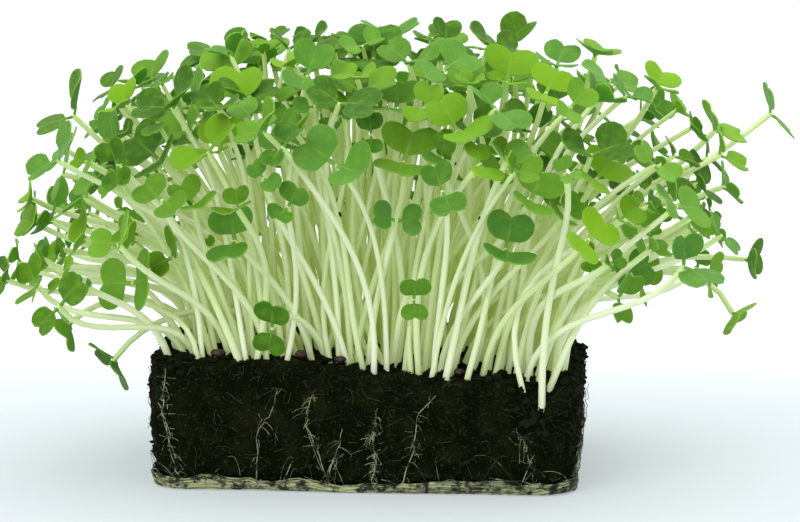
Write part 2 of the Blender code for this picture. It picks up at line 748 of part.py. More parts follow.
def lay_husks(soil):
    """Husk meshes on the real surface of the soil, each at the height of the highest point under it."""
    ground = BVHTree.FromObject(soil, bpy.context.evaluated_depsgraph_get())
    meshes = []
    for (x, y), turn, half_length in SEED_HUSKS:
        place = (x * MM, y * MM)
        half = half_length * MM
        top = 0.0
        for dx in (-1, 0, 1):
            for dy in (-1, 0, 1):
                above = Vector((place[0] + dx * half, place[1] + dy * half, HIGH_ABOVE))
                hit = ground.ray_cast(above, Vector((0, 0, -1)))[0]
                if hit is not None:
                    top = max(top, hit.z)
        height = top + half * HUSK_HEIGHT + TOUCHING_GAP
        meshes.append(husk_mesh(place, math.radians(turn), half, height))
    return meshes


def main():
    clear_scene()
    soil_brown = make_material("soil", (0.022, 0.016, 0.008), 0.95)
    root_cream = make_material("root_felt", (0.42, 0.40, 0.27), 0.85)
    stem_pale = make_material("sprout_stem", (0.50, 0.65, 0.30), 0.45)
    leaf_green = make_material("seed_leaf", (0.12, 0.32, 0.05), 0.5)
    husk_black = make_material("seed_husk", (0.02, 0.014, 0.010), 0.6)

    soil = make_soil(soil_brown)
    make_root_mat(root_cream)
    husks = lay_husks(soil)
    for number, (verts, faces) in enumerate(husks, 1):
        make_object("seed_husk_%d" % number, verts, faces, [husk_black], smooth_angle=1.0)

    pairs = foot_places()
    tufts = grow_stand(pairs, [BVHTree.FromPolygons(*husk) for husk in husks])
    cutters = []
    for tuft, sprouts in tufts.items():
        if not sprouts:
            continue
        make_tuft("tuft_%02d" % (tuft + 1), sprouts, [stem_pale, leaf_green])
        cutters.append(hole_cutter("hole_%02d" % (tuft + 1), pairs[tuft], soil_brown))
    boolean_with(soil, cutters, "DIFFERENCE")


main()
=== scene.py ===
"""Looks of a block of potting soil with a dense stand of young sprouts on it.

The file is laid out as an add-on: settings, one operator for each kind of piece and one for the stage, and
a panel that lists them. Run as a script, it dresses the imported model. Sizes are in metres, Z is up, and X
runs along the front of the block from left to right.
"""

import math
import random

import bmesh
import bpy
from mathutils import Matrix, Vector, noise
from mathutils.bvhtree import BVHTree
from mathutils.geometry import interpolate_bezier


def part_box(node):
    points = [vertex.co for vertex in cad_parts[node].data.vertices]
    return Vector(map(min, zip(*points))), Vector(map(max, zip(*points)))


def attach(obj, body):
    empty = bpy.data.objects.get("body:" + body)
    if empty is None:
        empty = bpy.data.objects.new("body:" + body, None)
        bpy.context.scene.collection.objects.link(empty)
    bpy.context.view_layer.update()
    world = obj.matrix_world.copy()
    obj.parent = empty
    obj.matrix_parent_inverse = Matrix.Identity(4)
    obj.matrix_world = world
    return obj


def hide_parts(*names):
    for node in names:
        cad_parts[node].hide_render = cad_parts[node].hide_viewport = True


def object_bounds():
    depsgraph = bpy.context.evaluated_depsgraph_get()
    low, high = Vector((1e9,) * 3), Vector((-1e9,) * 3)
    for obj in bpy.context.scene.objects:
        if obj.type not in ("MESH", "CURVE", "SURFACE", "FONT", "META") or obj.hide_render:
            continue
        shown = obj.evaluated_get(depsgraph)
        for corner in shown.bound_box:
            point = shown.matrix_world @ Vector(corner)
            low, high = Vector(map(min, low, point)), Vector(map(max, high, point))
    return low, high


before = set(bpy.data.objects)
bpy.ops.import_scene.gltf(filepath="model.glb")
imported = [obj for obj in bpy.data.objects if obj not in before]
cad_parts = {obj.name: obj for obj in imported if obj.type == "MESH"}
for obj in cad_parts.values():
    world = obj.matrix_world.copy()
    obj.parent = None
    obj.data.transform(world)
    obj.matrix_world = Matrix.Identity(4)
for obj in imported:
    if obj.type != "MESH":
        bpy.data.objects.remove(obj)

bl_info = {
    "name": "Sprout block",
    "version": (1, 0, 0),
    "blender": (4, 5, 0),
    "location": "3D View > Sidebar > Sprout block",
    "description": "Dresses a block of soil with roots, husks and a stand of sprouts",
    "category": "Object",
}

MM = 0.001
CAD_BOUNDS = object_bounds()
TOUCHING_GAP = 0.3 * MM

# Soil block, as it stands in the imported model
BLOCK_WIDTH = 98 * MM
BLOCK_DEPTH = 72 * MM
BLOCK_HEIGHT_LEFT = 31.0 * MM
BLOCK_HEIGHT_RIGHT = 25.0 * MM
CORNER_RADIUS = 9.5 * MM
FOOT_TAPER = 1.9 * MM
FOOT_TAPER_TOP = 7 * MM
FLANK_SWELL = 0.6 * MM
FLANK_WAVE = 0.5 * MM
TOP_LUMP = 0.7 * MM
LUMP_SPACING = (9 * MM, 8 * MM)
LUMP_SHIFT = 0.7
NOTCH_PLACE = (40 * MM, -37 * MM)
NOTCH_REACH = (4.5 * MM, 6 * MM)
NOTCH_DEPTH = 11 * MM

# Root mat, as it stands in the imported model
MAT_FLOOR = 1.5 * MM
MAT_WALL = 1.3 * MM
MAT_RIM_MEAN = 3.0 * MM
MAT_RIM_WAVE = 0.95 * MM
ROOT_HALF_WIDTH = 0.42 * MM
ROOT_FOOT = 2 * MM
ROOT_STEPS = 4
SIDE_ROOT_SEED = 7
SIDE_ROOT_COUNT = 7
SIDE_ROOT_MARGIN = 14 * MM
SIDE_ROOT_TOP = (12 * MM, 23 * MM)
SIDE_ROOT_DRIFT = 2.5 * MM

# Waves along the block's outline: number round it, shift in radians, share of the wave's height
FLANK_WAVES = ((3, 0.6, 1.0), (7, 2.0, 0.6))
MAT_RIM_WAVES = ((5, 5.0, 1.0), (17, 0.0, 0.45))

# Roots on the front face, in millimetres: way along the front from its middle, then height
FRONT_ROOTS = (
    ((-44, 28), (-44.5, 19), (-43, 9), (-41, 2)),
    ((-19, 24), (-20, 19), (-23, 14), (-24, 2)),
    ((-10, 24), (-12, 18), (-10, 10), (-7, 2)),
    ((-4, 15), (-5, 11), (-6.5, 6), (-8, 2)),
    ((4, 20), (3, 14), (3.5, 8), (2, 2)),
    ((17, 23), (13, 18), (12, 10), (9, 2)),
    ((35, 16), (37, 12), (38.5, 7), (39, 2)),
    ((50, 13), (51, 9), (52, 6), (51, 2)),
)

# Sprouts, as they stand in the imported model
TUFT_COLUMNS = 9
TUFT_ROWS = 5
TUFT_PITCH = (9.7 * MM, 13.6 * MM)
ROW_STAGGER = 2.2 * MM
TUFT_JITTER = 1.0 * MM
FEET_APART = 3.3 * MM
FEET_TURN = 0.7
FOOT_TO_EDGE = 5 * MM
FOOT_TO_HEAD = 1.9
KNOT_DEPTH = 6 * MM
KNOT_OVERRUN = 1 * MM
KNOT_STUB = 0.01
STEM_HALF_FOOT = 0.72 * MM
STEM_HALF_TIP = 0.55 * MM
STEM_STEPS = 4
STEM_STEEPNESS = 2.0
STEM_HANDLE = 0.4
TIP_SEGMENT = 1.0 * MM
NEARLY_SIDEWAYS = 0.8
BLADE_THICK = 0.7 * MM
BLADE_LENGTH = 6.4 * MM
BLADE_HALF_WIDTH = 5.8 * MM
BLADE_STALK = 1.8 * MM
BLADE_STALK_HALF = 0.50 * MM
BLADE_SIDE = ((0.10, 0.72), (0.52, 1.0), (1.0, 0.55))
BLADE_NOTCH = 0.80
BLADE_MIDDLE = 0.45
BLADE_WIDTH_SPREAD = (0.9, 1.1)
SECOND_BLADE = (0.82, 1.0)
BLADE_FOLD = (0.02, 0.35)
BLADE_CURL = (-0.02, 0.22)
CLEARANCE = 0.35 * MM
STAND_TOP = 101 * MM
STAND_EDGE = 75 * MM
STAND_ROUND = 2.4
STAND_HALF_WIDTH = 84 * MM
STAND_HALF_DEPTH = 62 * MM
STAND_REACH = 80 * MM
SHORT_BY = 26 * MM
SHORT_SHARE_MIDDLE = 0.5
FAN_WIDTH = 1.75
FAN_DEPTH = 1.6
HEAD_SPREAD = 7 * MM
LEAN_REACH = 40 * MM
LEAN_ACROSS = (-0.4, 0.4)
LEAN_BACK = (-0.6, 0.2)
FREE_HALF_SPAN = (6.6 * MM, 9.0 * MM)
FREE_RAISED = (0.05, 0.8)
MARKED_SCALE = 1.22
MARKED_RAISED = (0.15, 0.7)
MARK_ABOVE_HEAD = 3 * MM
GROW_SEED = 41
GROW_TRIES = 60
RETRY_SHIFT = 0.25 * MM
RETRY_TURN = 0.05

# The view that the camera takes, and the size of its picture in pixels
VIEW_TARGET = (6.0 * MM, 0.0, 48.6 * MM)
VIEW_AZIMUTH = math.radians(4.5)
VIEW_ELEVATION = math.radians(7.0)
VIEW_DISTANCE = 0.6
VIEW_LENS = 113.7
SENSOR_WIDTH = 36.0
VIEW_PIXELS = (800, 522)

# Sprouts marked on that view: pixel of the leaves' middle, guessed depth in millimetres behind the
# block's middle, way the stem arrives, half span in millimetres, turn in degrees. The mark at (51, 250) was
# read at (49, 252) with a depth of 2, and then moved.
VIEW_MARKS = (
    ((68, 108), -12, (-6, -4, 7), 8.6, 20),
    ((107, 80), 0, (-4, -1, 8), 5.0, 60),
    ((119, 100), -20, (-4, -4, 7), 5.4, 80),
    ((146, 76), -6, (-3, -4, 8), 6.6, 80),
    ((172, 66), 4, (-2, -3, 9), 6.4, 10),
    ((224, 68), -14, (-2, -5, 8), 8.0, 85),
    ((237, 105), -28, (-1, -6, 7), 8.0, 75),
    ((260, 54), 6, (-1, -3, 9), 7.2, 80),
    ((108, 136), -8, (-6, -3, 6), 6.6, 10),
    ((57, 148), 6, (-8, -2, 5), 5.6, 50),
    ((54, 172), -10, (-8, -3, 2), 5.6, 80),
    ((216, 144), -38, (-2, -6, 7), 7.0, 80),
    ((90, 176), 4, (-7, -1, 5), 5.4, 20),
    ((78, 193), -22, (-7, -4, 5), 7.2, 75),
    ((70, 228), -28, (-7, -5, 2), 6.6, 80),
    ((25, 214), -4, (-9, -1, 3), 5.2, 60),
    ((33, 270), -14, (-9, -2, -1), 6.2, 70),
    ((51, 250), 6, (-8, -1, 1), 5.0, 40),
    ((124, 235), -26, (-6, -4, 2), 5.4, 0),
    ((153, 262), -32, (-4, -5, 3), 5.6, 60),
    ((126, 284), -34, (-4, -6, 2), 8.4, 5),
    ((229, 238), -44, (-2, -6, 4), 6.4, 88),
    ((63, 329), -20, (-5, -2, -5), 5.2, 40),
    ((107, 366), -28, (-4, -3, -6), 5.8, 10),
    ((333, 44), 2, (-1, -3, 9), 6.0, 85),
    ((373, 52), -16, (0, -5, 8), 7.4, 88),
    ((390, 32), 8, (0, -2, 9), 6.6, 10),
    ((440, 36), 12, (1, -2, 9), 6.0, 70),
    ((440, 68), -12, (0, -5, 8), 7.0, 0),
    ((395, 102), -28, (0, -6, 7), 7.0, 85),
    ((340, 97), -22, (-1, -5, 8), 6.4, 20),
    ((274, 126), -30, (-1, -6, 7), 5.6, 60),
    ((300, 64), -4, (-1, -3, 9), 6.4, 15),
    ((405, 158), -42, (0, -6, 6), 8.4, 80),
    ((470, 122), -34, (2, -6, 6), 6.4, 10),
    ((508, 76), -20, (1, -5, 8), 7.2, 88),
    ((548, 87), -26, (2, -5, 8), 6.0, 80),
    ((556, 58), 0, (1, -3, 9), 6.0, 80),
    ((590, 50), 6, (2, -2, 9), 6.2, 70),
    ((660, 78), -4, (4, -3, 8), 5.6, 85),
    ((600, 172), -36, (3, -6, 6), 7.0, 60),
    ((630, 148), -14, (4, -4, 7), 6.8, 20),
    ((510, 162), -36, (2, -6, 6), 6.2, 40),
    ((525, 204), -40, (3, -5, 6), 6.6, 80),
    ((505, 247), -46, (1, -6, 4), 7.0, 85),
    ((567, 208), -38, (3, -5, 5), 5.2, 50),
    ((643, 220), -24, (6, -4, 5), 6.2, 75),
    ((716, 196), -8, (7, -2, 5), 6.4, 70),
    ((677, 183), -20, (6, -4, 6), 6.8, 20),
    ((725, 156), 4, (6, 0, 6), 6.0, 80),
    ((779, 108), 8, (7, -1, 6), 6.0, 10),
    ((768, 152), -6, (8, -1, 3), 4.8, 70),
    ((640, 262), -28, (6, -4, 3), 5.6, 40),
    ((661, 290), -16, (7, -3, 0), 5.4, 20),
    ((627, 304), -34, (4, -4, -2), 5.6, 60),
    ((738, 325), -10, (3, -2, -7), 5.6, 80),
    ((757, 262), 4, (9, 0, -1), 5.4, 10),
    ((716, 279), -12, (7, -2, -2), 5.0, 40),
    ((399, 216), -46, (1, -6, 3), 4.6, 0),
    ((416, 306), -48, (1, -6, -2), 4.6, 85),
    ((271, 333), -48, (-1, -6, -3), 5.6, 85),
    ((612, 74), -10, (3, -3, 8), 6.2, 15),
)

SEED_HUSK_NODES = ["seed_husk_%d" % number for number in range(1, 6)]


# The view

def view_axes(azimuth, elevation):
    """The directions ahead of, to the right of and up from a camera."""
    flat = math.cos(elevation)
    ahead = (-math.sin(azimuth) * flat, math.cos(azimuth) * flat, -math.sin(elevation))
    right = (math.cos(azimuth), math.sin(azimuth), 0.0)
    rise = math.sin(elevation)
    up = (-math.sin(azimuth) * rise, math.cos(azimuth) * rise, flat)
    return ahead, right, up


def marked_place(pixel, depth):
    """The place in whole millimetres that a pixel of the view shows at a depth."""
    ahead, right, up = view_axes(VIEW_AZIMUTH, VIEW_ELEVATION)
    focal = VIEW_LENS / SENSOR_WIDTH * VIEW_PIXELS[0]
    across = (pixel[0] - VIEW_PIXELS[0] / 2) / focal
    down = (pixel[1] - VIEW_PIXELS[1] / 2) / focal
    ray = [ahead[axis] + right[axis] * across - up[axis] * down for axis in range(3)]
    eye = [VIEW_TARGET[axis] - VIEW_DISTANCE * ahead[axis] for axis in range(3)]
    reach = (depth * MM - eye[1]) / ray[1]
    return round((eye[0] + ray[0] * reach) / MM), depth, round((eye[2] + ray[2] * reach) / MM)


# The same marks, with the leaves' middle in millimetres in place of its pixel and depth
MARKED_SPROUTS = [(marked_place(pixel, depth), *rest) for pixel, depth, *rest in VIEW_MARKS]


# The block's outline

def outline_length():
    straight = 2 * (BLOCK_WIDTH + BLOCK_DEPTH) - 8 * CORNER_RADIUS
    return straight + 2 * math.pi * CORNER_RADIUS


def outline_point(way):
    """Place and outward direction at a way along the outline, from the front's middle to the right."""
    half_front = BLOCK_WIDTH / 2 - CORNER_RADIUS
    half_side = BLOCK_DEPTH / 2 - CORNER_RADIUS
    corner = math.pi / 2 * CORNER_RADIUS
    way = (way + half_front) % outline_length()
    heading = 0.0
    place = Vector((-half_front, -BLOCK_DEPTH / 2))
    for straight in (2 * half_front, 2 * half_side, 2 * half_front, 2 * half_side):
        along = Vector((math.cos(heading), math.sin(heading)))
        outward = Vector((along.y, -along.x))
        if way <= straight:
            return place + along * way, outward
        way -= straight
        place = place + along * straight
        if way <= corner:
            turn = way / CORNER_RADIUS
            centre = place - outward * CORNER_RADIUS
            outward = outward * math.cos(turn) + along * math.sin(turn)
            return centre + outward * CORNER_RADIUS, outward
        way -= corner
        place = place - outward * CORNER_RADIUS + along * CORNER_RADIUS
        heading += math.pi / 2
    return place, outward


def way_of(place):
    """The way along the outline nearest to a place, the direction out there, and how near the rim it is."""
    half_front = BLOCK_WIDTH / 2 - CORNER_RADIUS
    half_side = BLOCK_DEPTH / 2 - CORNER_RADIUS
    core = Vector((max(-half_front, min(half_front, place.x)), max(-half_side, min(half_side, place.y))))
    out = Vector((place.x - core.x, place.y - core.y))
    if out.length < 1e-7:
        return 0.0, Vector((0.0, 0.0)), 0.0
    turn = math.atan2(out.x, -out.y) % (2 * math.pi)
    side = round(turn / (math.pi / 2)) % 4
    travel = (
        core.x + (4 * (half_front + half_side) if turn > math.pi else 0.0),
        half_front + half_side + core.y,
        2 * half_front + 2 * half_side - core.x,
        3 * half_front + 3 * half_side - core.y,
    )[side]
    return travel + CORNER_RADIUS * turn, out.normalized(), min(1.0, out.length / CORNER_RADIUS)


def wave_along(way, waves):
    around = 2 * math.pi * way / outline_length()
    return sum(share * math.sin(number * around + shift) for number, shift, share in waves)


def flank_offset(way, height):
    """How far the soil's side stands out from the plain outline."""
    wave = FLANK_WAVE * wave_along(way, FLANK_WAVES)
    if height < FOOT_TAPER_TOP:
        return wave - FOOT_TAPER * (FOOT_TAPER_TOP - height) / FOOT_TAPER_TOP
    rise = (height - FOOT_TAPER_TOP) / (BLOCK_HEIGHT_LEFT - FOOT_TAPER_TOP)
    return wave + FLANK_SWELL * math.sin(math.pi * min(rise, 1.0))


def flank_point(way, height, proud):
    """A point that stands a little proud of the soil's side."""
    place, outward = outline_point(way)
    place = place + outward * (flank_offset(way, height) + proud)
    return Vector((place.x, place.y, height))


def soil_top(x, y):
    """Height of the soil's upper face: lumpy, falling to the right, and broken away at the front right."""
    across = x / BLOCK_WIDTH + 0.5
    height = BLOCK_HEIGHT_LEFT + (BLOCK_HEIGHT_RIGHT - BLOCK_HEIGHT_LEFT) * across
    height += TOP_LUMP * math.sin(x / LUMP_SPACING[0]) * math.cos(y / LUMP_SPACING[1] + LUMP_SHIFT)
    far_x = (x - NOTCH_PLACE[0]) / NOTCH_REACH[0]
    far_y = (y - NOTCH_PLACE[1]) / NOTCH_REACH[1]
    return height - NOTCH_DEPTH * math.exp(-far_x * far_x - far_y * far_y)


def mat_rim(way):
    return MAT_RIM_MEAN + MAT_RIM_WAVE * wave_along(way, MAT_RIM_WAVES)


def root_lines():
    """Lines of the roots on the front, then of roots by rule on the right, back and left."""
    proud = TOUCHING_GAP + ROOT_HALF_WIDTH * 2
    draw = random.Random(SIDE_ROOT_SEED)
    lines = []
    for marks in FRONT_ROOTS:
        lines.append([flank_point(way * MM, height * MM, proud) for way, height in marks])
    first = BLOCK_WIDTH / 2 + SIDE_ROOT_MARGIN
    spread = outline_length() - BLOCK_WIDTH - 2 * SIDE_ROOT_MARGIN
    for number in range(SIDE_ROOT_COUNT):
        way = first + spread * (number + 0.5) / SIDE_ROOT_COUNT
        top = draw.uniform(*SIDE_ROOT_TOP)
        marks = []
        for step in range(ROOT_STEPS):
            drop = step / (ROOT_STEPS - 1)
            drift = draw.uniform(-SIDE_ROOT_DRIFT, SIDE_ROOT_DRIFT)
            marks.append((way + drift, top + (ROOT_FOOT - top) * drop))
        lines.append([flank_point(side_way, height, proud) for side_way, height in marks])
    return lines


# Where the sprouts stand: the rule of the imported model, with its shells to test for room

def loft(rings):
    """Closed skin over rings of points: quads between rings, one face at each end."""
    count = len(rings[0])
    verts = [tuple(point) for ring in rings for point in ring]
    faces = []
    for level in range(len(rings) - 1):
        low = level * count
        for step in range(count):
            after = (step + 1) % count
            faces.append((low + step, low + after, low + count + after, low + count + step))
    faces.append(tuple(reversed(range(count))))
    last = (len(rings) - 1) * count
    faces.append(tuple(range(last, last + count)))
    return verts, faces


def square_tube(line, half_widths, side):
    """A four-sided tube along a line of points; side is the direction of one of its flanks at the end."""
    rings = []
    last = len(line) - 1
    for step in range(last, -1, -1):
        ahead = line[min(step + 1, last)] - line[max(step - 1, 0)]
        ahead.normalize()
        side = (side - ahead * side.dot(ahead)).normalized()
        across = ahead.cross(side)
        half = half_widths[step]
        corners = ((1, 1), (-1, 1), (-1, -1), (1, -1))
        rings.insert(0, [line[step] + (side * a + across * b) * half for a, b in corners])
    return loft(rings)


def foot_places():
    """Pairs of feet, one pair for each tuft, on a staggered grid over the soil."""
    draw = random.Random(GROW_SEED)
    limit = Vector((BLOCK_WIDTH / 2 - FOOT_TO_EDGE, BLOCK_DEPTH / 2 - FOOT_TO_EDGE))
    pairs = []
    for row in range(TUFT_ROWS):
        for column in range(TUFT_COLUMNS):
            x = (column - (TUFT_COLUMNS - 1) / 2) * TUFT_PITCH[0] + (row % 2 - 0.5) * ROW_STAGGER
            y = (row - (TUFT_ROWS - 1) / 2) * TUFT_PITCH[1]
            x += draw.uniform(-1, 1) * TUFT_JITTER
            y += draw.uniform(-1, 1) * TUFT_JITTER
            turn = draw.uniform(-FEET_TURN, FEET_TURN)
            reach = Vector((math.cos(turn), math.sin(turn))) * FEET_APART / 2
            pair = []
            for foot in (Vector((x, y)) - reach, Vector((x, y)) + reach):
                foot.x = max(-limit.x, min(limit.x, foot.x))
                foot.y = max(-limit.y, min(limit.y, foot.y))
                pair.append(Vector((foot.x, foot.y, soil_top(foot.x, foot.y))))
            pairs.append(pair)
    return pairs


def knot_of(pair):
    """The point under ground where the two stems of a tuft run together."""
    middle = (pair[0] + pair[1]) / 2
    return Vector((middle.x, middle.y, min(pair[0].z, pair[1].z) - KNOT_DEPTH))


def stem_line(sprout, steps):
    """Points from the knot up through the foot, which the stem leaves steeply, to the head."""
    knot, foot, head, arrive = sprout["knot"], sprout["foot"], sprout["head"], sprout["arrive"]
    below = knot + (knot - foot).normalized() * KNOT_OVERRUN
    lean = (head - foot).normalized()
    slant_x, slant_y = sprout.get("slant", (0, 0))
    rise = (lean + Vector((slant_x, slant_y, sprout.get("steepness", STEM_STEEPNESS)))).normalized()
    reach = (head - foot).length * STEM_HANDLE
    leave = foot + rise * reach * sprout.get("stretch", 1.0)
    curve = interpolate_bezier(foot, leave, head - arrive * reach, head, steps + 1)
    return [below] + list(curve) + [head + arrive * TIP_SEGMENT]


def blade_outline(length, half_width, stalk, grow):
    """One side of a notched seed leaf, from its stalk to the notch: way out and way across."""
    side = [(stalk, BLADE_STALK_HALF + grow)]
    for out, across in BLADE_SIDE:
        side.append((stalk + (length + grow) * out, half_width * across + grow))
    side.append((stalk + length * BLADE_NOTCH + grow, 0.0))
    return side


def add_blade(verts, faces, gate, seat, blade, grow):
    """A seed leaf on the four corners of a gate in the stem's side: lower two, then upper two."""
    origin, out, across, up = seat
    length, half_width, stalk, fold, curl = blade
    side = blade_outline(length, half_width, stalk, grow)
    points = side + [(u, -v) for u, v in reversed(side[:-1])]
    points.append((stalk + length * BLADE_MIDDLE, 0.0))
    first = len(verts)
    thick = BLADE_THICK + 2 * grow
    for face in (0.5, -0.5):
        for u, v in points:
            far = (u - stalk) / length
            height = fold * abs(v) - curl * far * far * length + face * thick
            verts.append(tuple(origin + out * u + across * v + up * height))
    count = len(points)
    middle = count - 1
    end = middle - 1
    for step in range(end):
        faces.append((first + step, first + step + 1, first + middle))
        faces.append((first + count + step, first + count + step + 1, first + count + middle))
        faces.append((first + step, first + step + 1, first + count + step + 1, first + count + step))
    faces.append((first + end, first, first + middle))
    faces.append((first + count + end, first + count, first + count + middle))
    low_plus, low_minus, high_plus, high_minus = gate
    top_plus, top_minus = first, first + end
    under_plus, under_minus = first + count, first + count + end
    for quad in (
        (high_plus, high_minus, top_minus, top_plus),
        (low_plus, low_minus, under_minus, under_plus),
        (low_plus, high_plus, top_plus, under_plus),
        (low_minus, high_minus, top_minus, under_minus),
    ):
        faces.append((quad[0], quad[1], quad[2]))
        faces.append((quad[0], quad[2], quad[3]))


def spread_direction(arrive, turn):
    """The direction of the first seed leaf: level for a turn of 0, then turned about the stem's tip."""
    start = Vector((1, 0, 0)) if abs(arrive.x) < NEARLY_SIDEWAYS else Vector((0, 1, 0))
    start = (start - arrive * start.dot(arrive)).normalized()
    return start * math.cos(turn) + arrive.cross(start) * math.sin(turn)


def leaf_seats(sprout, line):
    """Origin, way out, way across and way up of each of a sprout's two seed leaves."""
    last = len(line) - 1
    tip = (line[last] + line[last - 1]) / 2
    axis = (line[last] - line[last - 2]).normalized()
    side = spread_direction(sprout["arrive"], sprout["turn"])
    side = (side - axis * side.dot(axis)).normalized()
    seats = []
    for way, raised in zip((1, -1), sprout["raised"]):
        flat = side * way
        out = flat * math.cos(raised) + axis * math.sin(raised)
        up = axis * math.cos(raised) - flat * math.sin(raised)
        seats.append((tip, out, axis.cross(side), up))
    return seats


def sprout_shell(sprout, grow=0.0):
    """Points and faces of one sprout, all in one skin; grow makes it fatter all over to test for room."""
    line = stem_line(sprout, STEM_STEPS)
    last = len(line) - 1
    slim = sprout.get("slim", 1.0)
    halves = []
    for step in range(last + 1):
        halves.append((STEM_HALF_FOOT + (STEM_HALF_TIP - STEM_HALF_FOOT) * step / last) * slim + grow)
    side = spread_direction(sprout["arrive"], sprout["turn"])
    verts, faces = square_tube(line, halves, side)
    corner = 4 * last
    gates = (
        (corner - 4, corner - 1, corner, corner + 3),
        (corner - 3, corner - 2, corner + 1, corner + 2),
    )
    open_quads = [set(gate) for gate in gates]
    faces = [face for face in faces if set(face) not in open_quads]
    for gate, blade, seat in zip(gates, sprout["blades"], leaf_seats(sprout, line)):
        add_blade(verts, faces, gate, seat, blade, grow)
    return verts, faces


def draw_blades(draw, half_span):
    """Lengths, half widths, stalks, folds and curls of a pair of seed leaves, one a little smaller."""
    blades = []
    for share in (1.0, draw.uniform(*SECOND_BLADE)):
        size = share * half_span / (BLADE_LENGTH + BLADE_STALK)
        blades.append((
            BLADE_LENGTH * size,
            BLADE_HALF_WIDTH * size * draw.uniform(*BLADE_WIDTH_SPREAD),
            BLADE_STALK * size,
            draw.uniform(*BLADE_FOLD),
            draw.uniform(*BLADE_CURL),
        ))
    return blades


def marked_sprout(draw, mark, knot, foot, attempt):
    """A sprout with its leaves where they are marked, shifted a little more with each attempt."""
    (x, y, z), arrive, half_span, turn = mark
    shift = attempt * RETRY_SHIFT
    arrive = Vector(arrive).normalized()
    head = Vector((x, y, z)) * MM - arrive * MARK_ABOVE_HEAD
    head += Vector((draw.uniform(-1, 1), draw.uniform(-1, 1), draw.uniform(-1, 1))) * shift
    return {
        "knot": knot,
        "foot": foot,
        "head": head,
        "arrive": arrive,
        "turn": math.radians(turn) + draw.uniform(-1, 1) * RETRY_TURN * attempt,
        "raised": (draw.uniform(*MARKED_RAISED), draw.uniform(*MARKED_RAISED)),
        "blades": draw_blades(draw, half_span * MARKED_SCALE * MM),
    }


def free_sprout(draw, knot, foot, attempt):
    """A sprout by the rule of the stand: it leans out more the further its foot is from the middle."""
    spread = HEAD_SPREAD + attempt * RETRY_SHIFT
    x = foot.x * FAN_WIDTH + draw.uniform(-1, 1) * spread
    x = max(-STAND_REACH, min(STAND_REACH, x))
    y = foot.y * FAN_DEPTH + draw.uniform(-1, 1) * spread
    far = min(1.0, math.hypot(x / STAND_HALF_WIDTH, y / STAND_HALF_DEPTH))
    short_by = SHORT_BY * (SHORT_SHARE_MIDDLE + abs(x) / STAND_HALF_WIDTH)
    z = STAND_TOP - (STAND_TOP - STAND_EDGE) * far ** STAND_ROUND - draw.random() ** 2 * short_by
    lean = Vector((x - foot.x, y - foot.y, 0)) / LEAN_REACH
    arrive = lean + Vector((draw.uniform(*LEAN_ACROSS), draw.uniform(*LEAN_BACK), 1.0))
    return {
        "knot": knot,
        "foot": foot,
        "head": Vector((x, y, z)),
        "arrive": arrive.normalized(),
        "turn": draw.uniform(-math.pi / 2, math.pi / 2),
        "raised": (draw.uniform(*FREE_RAISED), draw.uniform(*FREE_RAISED)),
        "blades": draw_blades(draw, draw.uniform(*FREE_HALF_SPAN)),
    }


def outwardness(mark):
    place = mark[0]
    return abs(place[0]) + abs(place[1])


def claim_feet(pairs):
    """The foot of each marked sprout, outer ones first: the nearest free one to half way in from its head."""
    claimed = {}
    for mark in sorted(MARKED_SPROUTS, key=outwardness, reverse=True):
        wanted = Vector(mark[0][:2]) * MM / FOOT_TO_HEAD
        free = []
        for tuft, pair in enumerate(pairs):
            for number, foot in enumerate(pair):
                if (tuft, number) not in claimed:
                    free.append(((foot.xy - wanted).length, tuft, number))
        _, tuft, number = min(free)
        claimed[(tuft, number)] = mark
    return claimed


def room_tree(sprout, grow):
    """Search tree of the part of a sprout that stands above ground."""
    above = dict(sprout, knot=sprout["foot"] + (sprout["foot"] - sprout["knot"]) * KNOT_STUB)
    return BVHTree.FromPolygons(*sprout_shell(above, grow))


def grow_stand(pairs, trees):
    """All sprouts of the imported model, tuft by tuft, each clear of those before it; trees takes them in."""
    draw = random.Random(GROW_SEED + 1)
    claimed = claim_feet(pairs)
    places = [(tuft, number) for tuft in range(len(pairs)) for number in range(2)]
    places.sort(key=lambda place: place not in claimed)
    tufts = {tuft: [] for tuft in range(len(pairs))}
    for tuft, number in places:
        knot = knot_of(pairs[tuft])
        foot = pairs[tuft][number]
        for attempt in range(GROW_TRIES):
            if (tuft, number) in claimed:
                sprout = marked_sprout(draw, claimed[(tuft, number)], knot, foot, attempt)
            else:
                sprout = free_sprout(draw, knot, foot, attempt)
            fat = room_tree(sprout, CLEARANCE)
            if not any(fat.overlap(tree) for tree in trees):
                trees.append(room_tree(sprout, 0.0))
                sprout["marked"] = (tuft, number) in claimed
                tufts[tuft].append(sprout)
                break
    return tufts


# The finer neighbours that fill the stand

NEIGHBOUR_SEED = 17
NEIGHBOUR_ROUNDS = 12
NEIGHBOUR_TRIES = 40
NEIGHBOUR_REACH = 80 * MM
NEIGHBOUR_GROW = -0.15 * MM
FOOT_ROOM = 1.7 * MM
FOOT_EDGE = 3.0 * MM
FOOT_JITTER = 0.55
FRONT_ROW = -10 * MM
LATE_SHARE = 0.3
LATE_SIDE = 0.7
LOWEST_HEAD = 47 * MM
# Heads at the right end stay this much higher for each unit of way to the right
RIGHT_LIFT = 0.13
# How far heads stand out over their feet, and where the stand's dome ends
HEAD_OUT = (1.45, 1.35)
HEAD_OUT_AT_SIDES = 0.35
HEAD_SCATTER = 11 * MM
DOME = (88 * MM, 60 * MM)
LEAN_LENGTH = 38 * MM
# In millimetres: how far heads end below the dome, and half the span of their leaves
SHORT_LATE = (14, 42)
SHORT_REST = 20
SHORT_REST_AT_SIDES = 16
HALF_SPAN_LATE = (3.6, 6.2)
HALF_SPAN_REST = (6.0, 10.6)
SHRINK_EACH_TRY = 0.009


